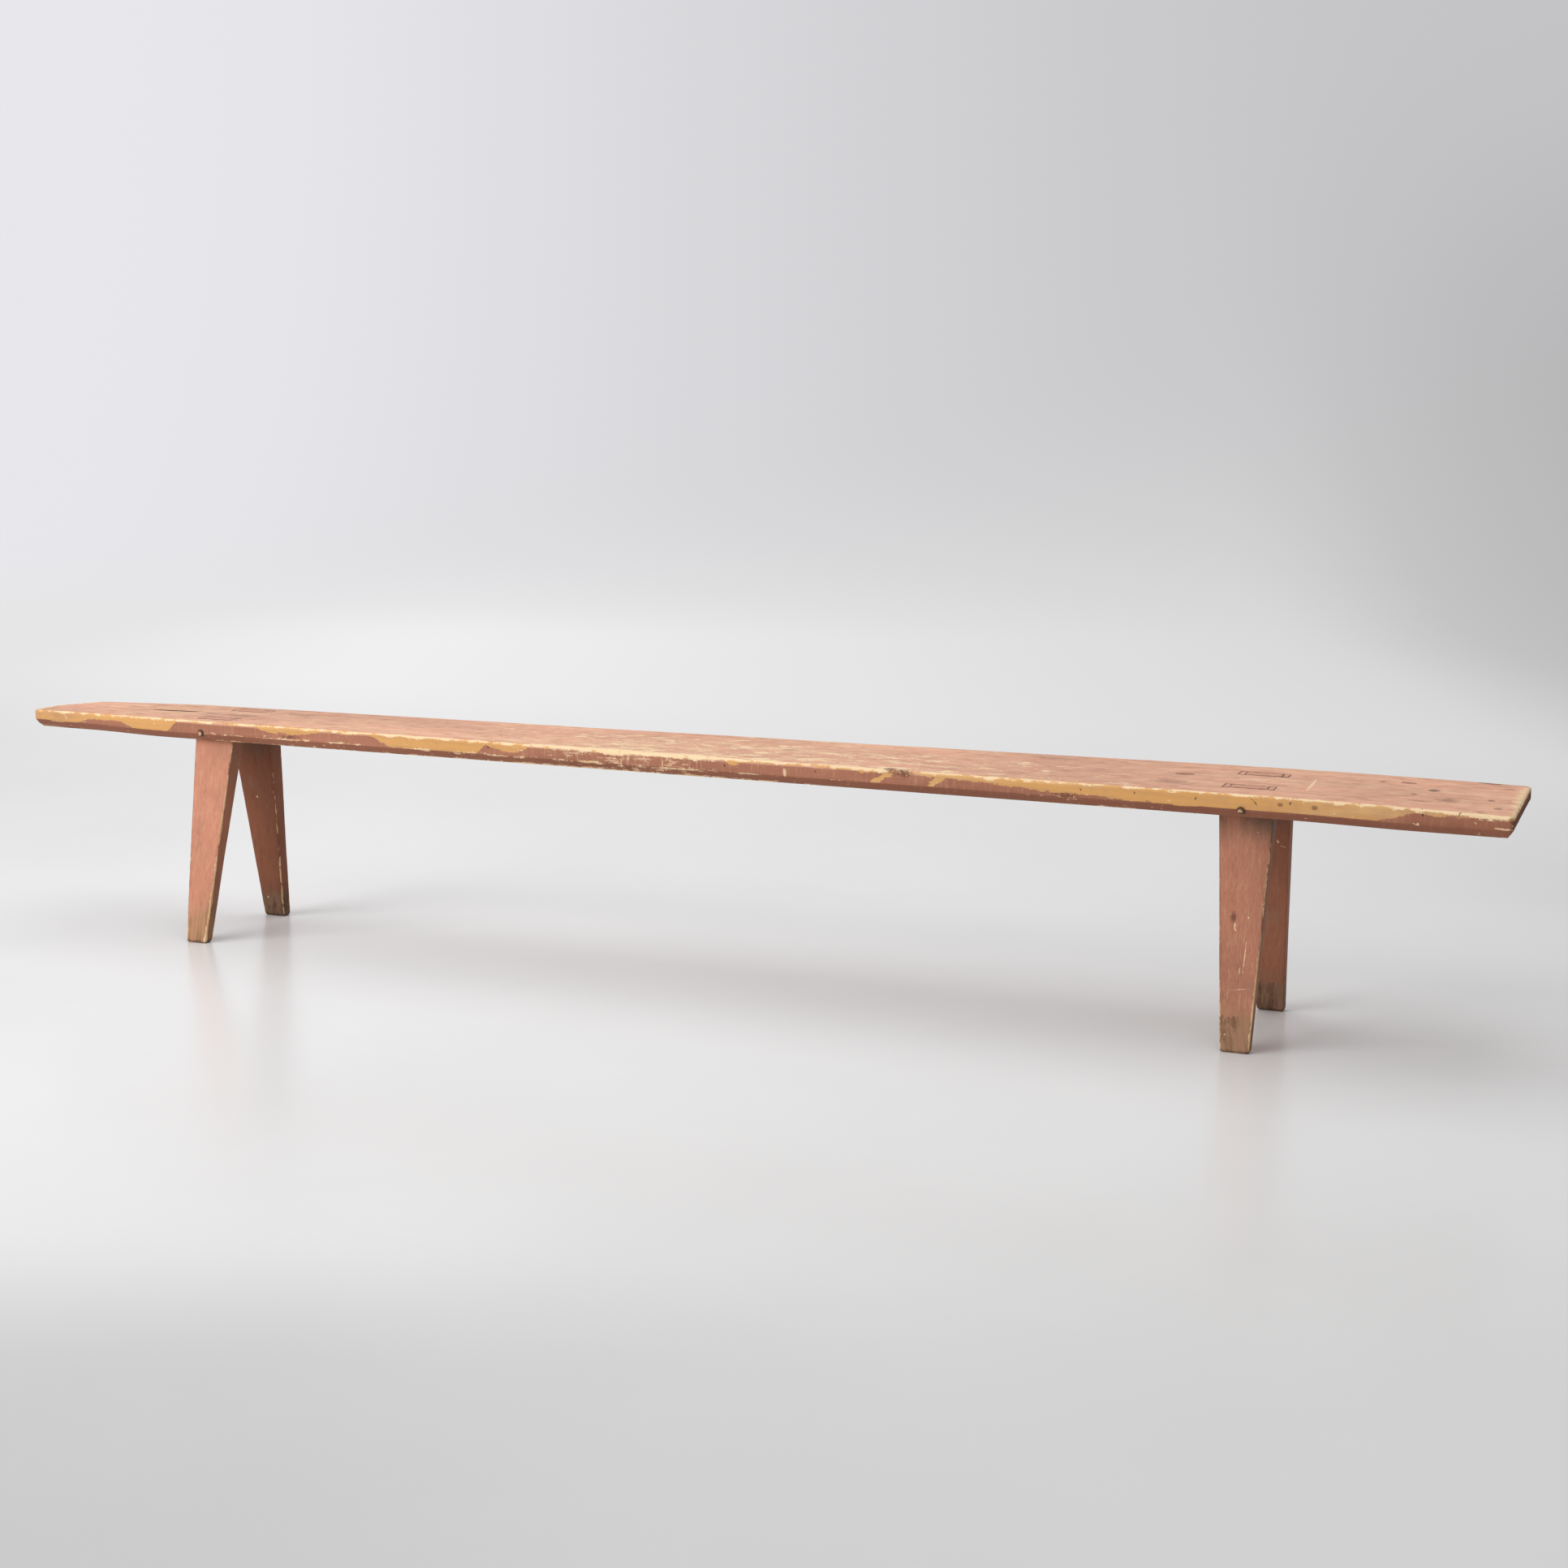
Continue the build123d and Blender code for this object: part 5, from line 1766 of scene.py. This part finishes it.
def floor_material(studio):
    """Pale, faintly sheeny studio floor with painted light and shade in its tone, running out into
    a glowing backdrop of painted light, brighter at the left.
    """
    material, nodes, shader, place = new_material("Pale Floor")
    cloudy = nodes.noise(place, 1.4, 4.0, 0.6)
    tone = nodes.ease(cloudy, 0.3, 0.7, 0.985, 1.015)
    split = nodes.add("ShaderNodeSeparateXYZ", {0: place}).outputs
    right_x, right_y = CAMERA_RIGHT
    side = nodes.times_plus(split["X"], right_x, nodes.times(split["Y"], right_y))
    away = nodes.times_plus(split["X"], -right_y, nodes.times(split["Y"], right_x))
    # Painted shade: the floor darkens toward the camera
    tone = nodes.times(tone, nodes.ease(away, -2.2, -0.9, 0.90, 1.0))
    # Painted shadow: a darker stretch of floor at the near left
    shadow_near_left = nodes.times(nodes.ease(away, -1.4, -1.9), nodes.ease(side, 1.0, -1.0))
    tone = nodes.times(tone, nodes.times_plus(shadow_near_left, -0.22, 1.0))
    # Painted shade on the floor by the left legs
    shade_by_legs = nodes.times(nodes.ease(side, -0.9, -1.6), nodes.ease(away, -1.0, -0.2))
    tone = nodes.times(tone, nodes.times_plus(shade_by_legs, -0.06, 1.0))
    # Painted light: the floor a little brighter from the bench backwards
    tone = nodes.times(tone, nodes.ease(away, -0.5, 0.9, 1.0, 1.05))
    # Painted shade toward the far right
    shade_far_right = nodes.times(nodes.ease(side, 1.2, 2.1), nodes.ease(away, 0.0, 0.8))
    tone = nodes.times(tone, nodes.times_plus(shade_far_right, -0.11, 1.0))
    base = nodes.mix(1.0, studio.floor, nodes.grey(tone), "MULTIPLY")
    nodes.tree.links.new(base, shader.inputs["Base Color"])
    shader.inputs["Roughness"].default_value = 0.25
    shader.inputs["Specular IOR Level"].default_value = 0.32

    # Painted light: the far floor and backdrop glow, brighter at the left, with a brighter band
    # across the middle and dimmer low on the right, and show in reflections
    plain = nodes.mix(nodes.ease(side, -4.6, 4.4), studio.backdrop_left, studio.backdrop_right)
    band = nodes.times(nodes.ease(side, -3.4, -1.2), nodes.ease(side, 3.3, 2.2))
    band = nodes.times(band, nodes.ease(away, 9.0, 5.6))
    shade_low_right = nodes.times(nodes.ease(side, 2.4, 4.8), nodes.ease(split["Z"], 3.2, 0.8))
    strength = nodes.times_plus(band, 0.20, nodes.times_plus(shade_low_right, -0.17, 1.0))
    plain = nodes.mix(nodes.ease(away, 9.6, 6.5), plain, (1.0, 1.0, 0.968), "MULTIPLY")
    glow = nodes.add("ShaderNodeEmission", {"Color": plain, "Strength": strength}).outputs[0]
    rays = nodes.add("ShaderNodeLightPath").outputs
    seen = nodes.maths("MAXIMUM", rays["Is Camera Ray"], rays["Is Glossy Ray"])
    far = nodes.times(nodes.ease(split["Y"], 0.4, 3.6), seen)
    blend = nodes.add("ShaderNodeMixShader", {0: far, 1: shader.outputs[0], 2: glow})
    output = next(node for node in material.node_tree.nodes if node.type == "OUTPUT_MATERIAL")
    nodes.tree.links.new(blend.outputs[0], output.inputs["Surface"])
    return material


def soft_lamp(name, place, target, size, power):
    lamp = bpy.data.lights.new(name, "AREA")
    lamp.shape = "SQUARE"
    lamp.size = size
    lamp.energy = power
    holder = bpy.data.objects.new(name, lamp)
    holder.location = place
    holder.rotation_mode = "QUATERNION"
    holder.rotation_quaternion = (Vector(target) - Vector(place)).to_track_quat("-Z", "Y")
    bpy.context.scene.collection.objects.link(holder)
    return holder


def bench_camera(lens):
    """A camera a little above the seat, to the right of the bench's middle and turned left."""
    data = bpy.data.cameras.new("camera")
    data.sensor_width = 36
    data.lens = lens
    data.clip_start, data.clip_end = 0.05, 100
    camera = bpy.data.objects.new("camera", data)
    yaw, pitch, roll = CAMERA_TURN
    turn = Matrix.Rotation(yaw, 3, "Z") @ Matrix.Rotation(math.pi / 2 - pitch, 3, "X")
    turn = turn @ Matrix.Rotation(roll, 3, "Z")
    camera.matrix_world = Matrix.Translation(CAMERA_PLACE) @ turn.to_4x4()
    bpy.context.scene.collection.objects.link(camera)
    return camera


# ---- Panel and start ----------------------------------------------------------------------------
class BenchPanel(bpy.types.Panel):
    """Lists the steps that make the bench, and its sizes and colours"""

    bl_idname = "VIEW3D_PT_country_bench"
    bl_label = "Country Plank Bench"
    bl_space_type = "VIEW_3D"
    bl_region_type = "UI"
    bl_category = "Bench"

    def draw(self, context):
        for title, group in (
            ("Sizes", context.scene.bench_sizes),
            ("Finish", context.scene.bench_finish),
            ("Studio", context.scene.bench_studio),
        ):
            box = self.layout.box()
            box.label(text=title)
            for key in group.bl_rna.properties.keys():
                if key not in ("rna_type", "name"):
                    box.prop(group, key)
        column = self.layout.column(align=True)
        for step in STEPS:
            column.operator(step.bl_idname)


STEPS = (SeatPlank, Legs, Wedges, Pegs, Studio)
GROUPS = {"bench_sizes": BenchSizes, "bench_finish": BenchFinish, "bench_studio": BenchStudio}


def register():
    for part in (*GROUPS.values(), *STEPS, BenchPanel):
        bpy.utils.register_class(part)
    for name, group in GROUPS.items():
        setattr(bpy.types.Scene, name, bpy.props.PointerProperty(type=group))


def unregister():
    for name in GROUPS:
        delattr(bpy.types.Scene, name)
    for part in reversed((*GROUPS.values(), *STEPS, BenchPanel)):
        bpy.utils.unregister_class(part)


def main():
    register()
    bpy.ops.bench.seat_plank()
    bpy.ops.bench.legs()
    bpy.ops.bench.wedges()
    bpy.ops.bench.pegs()
    bpy.ops.bench.studio()


if __name__ == "__main__":
    main()
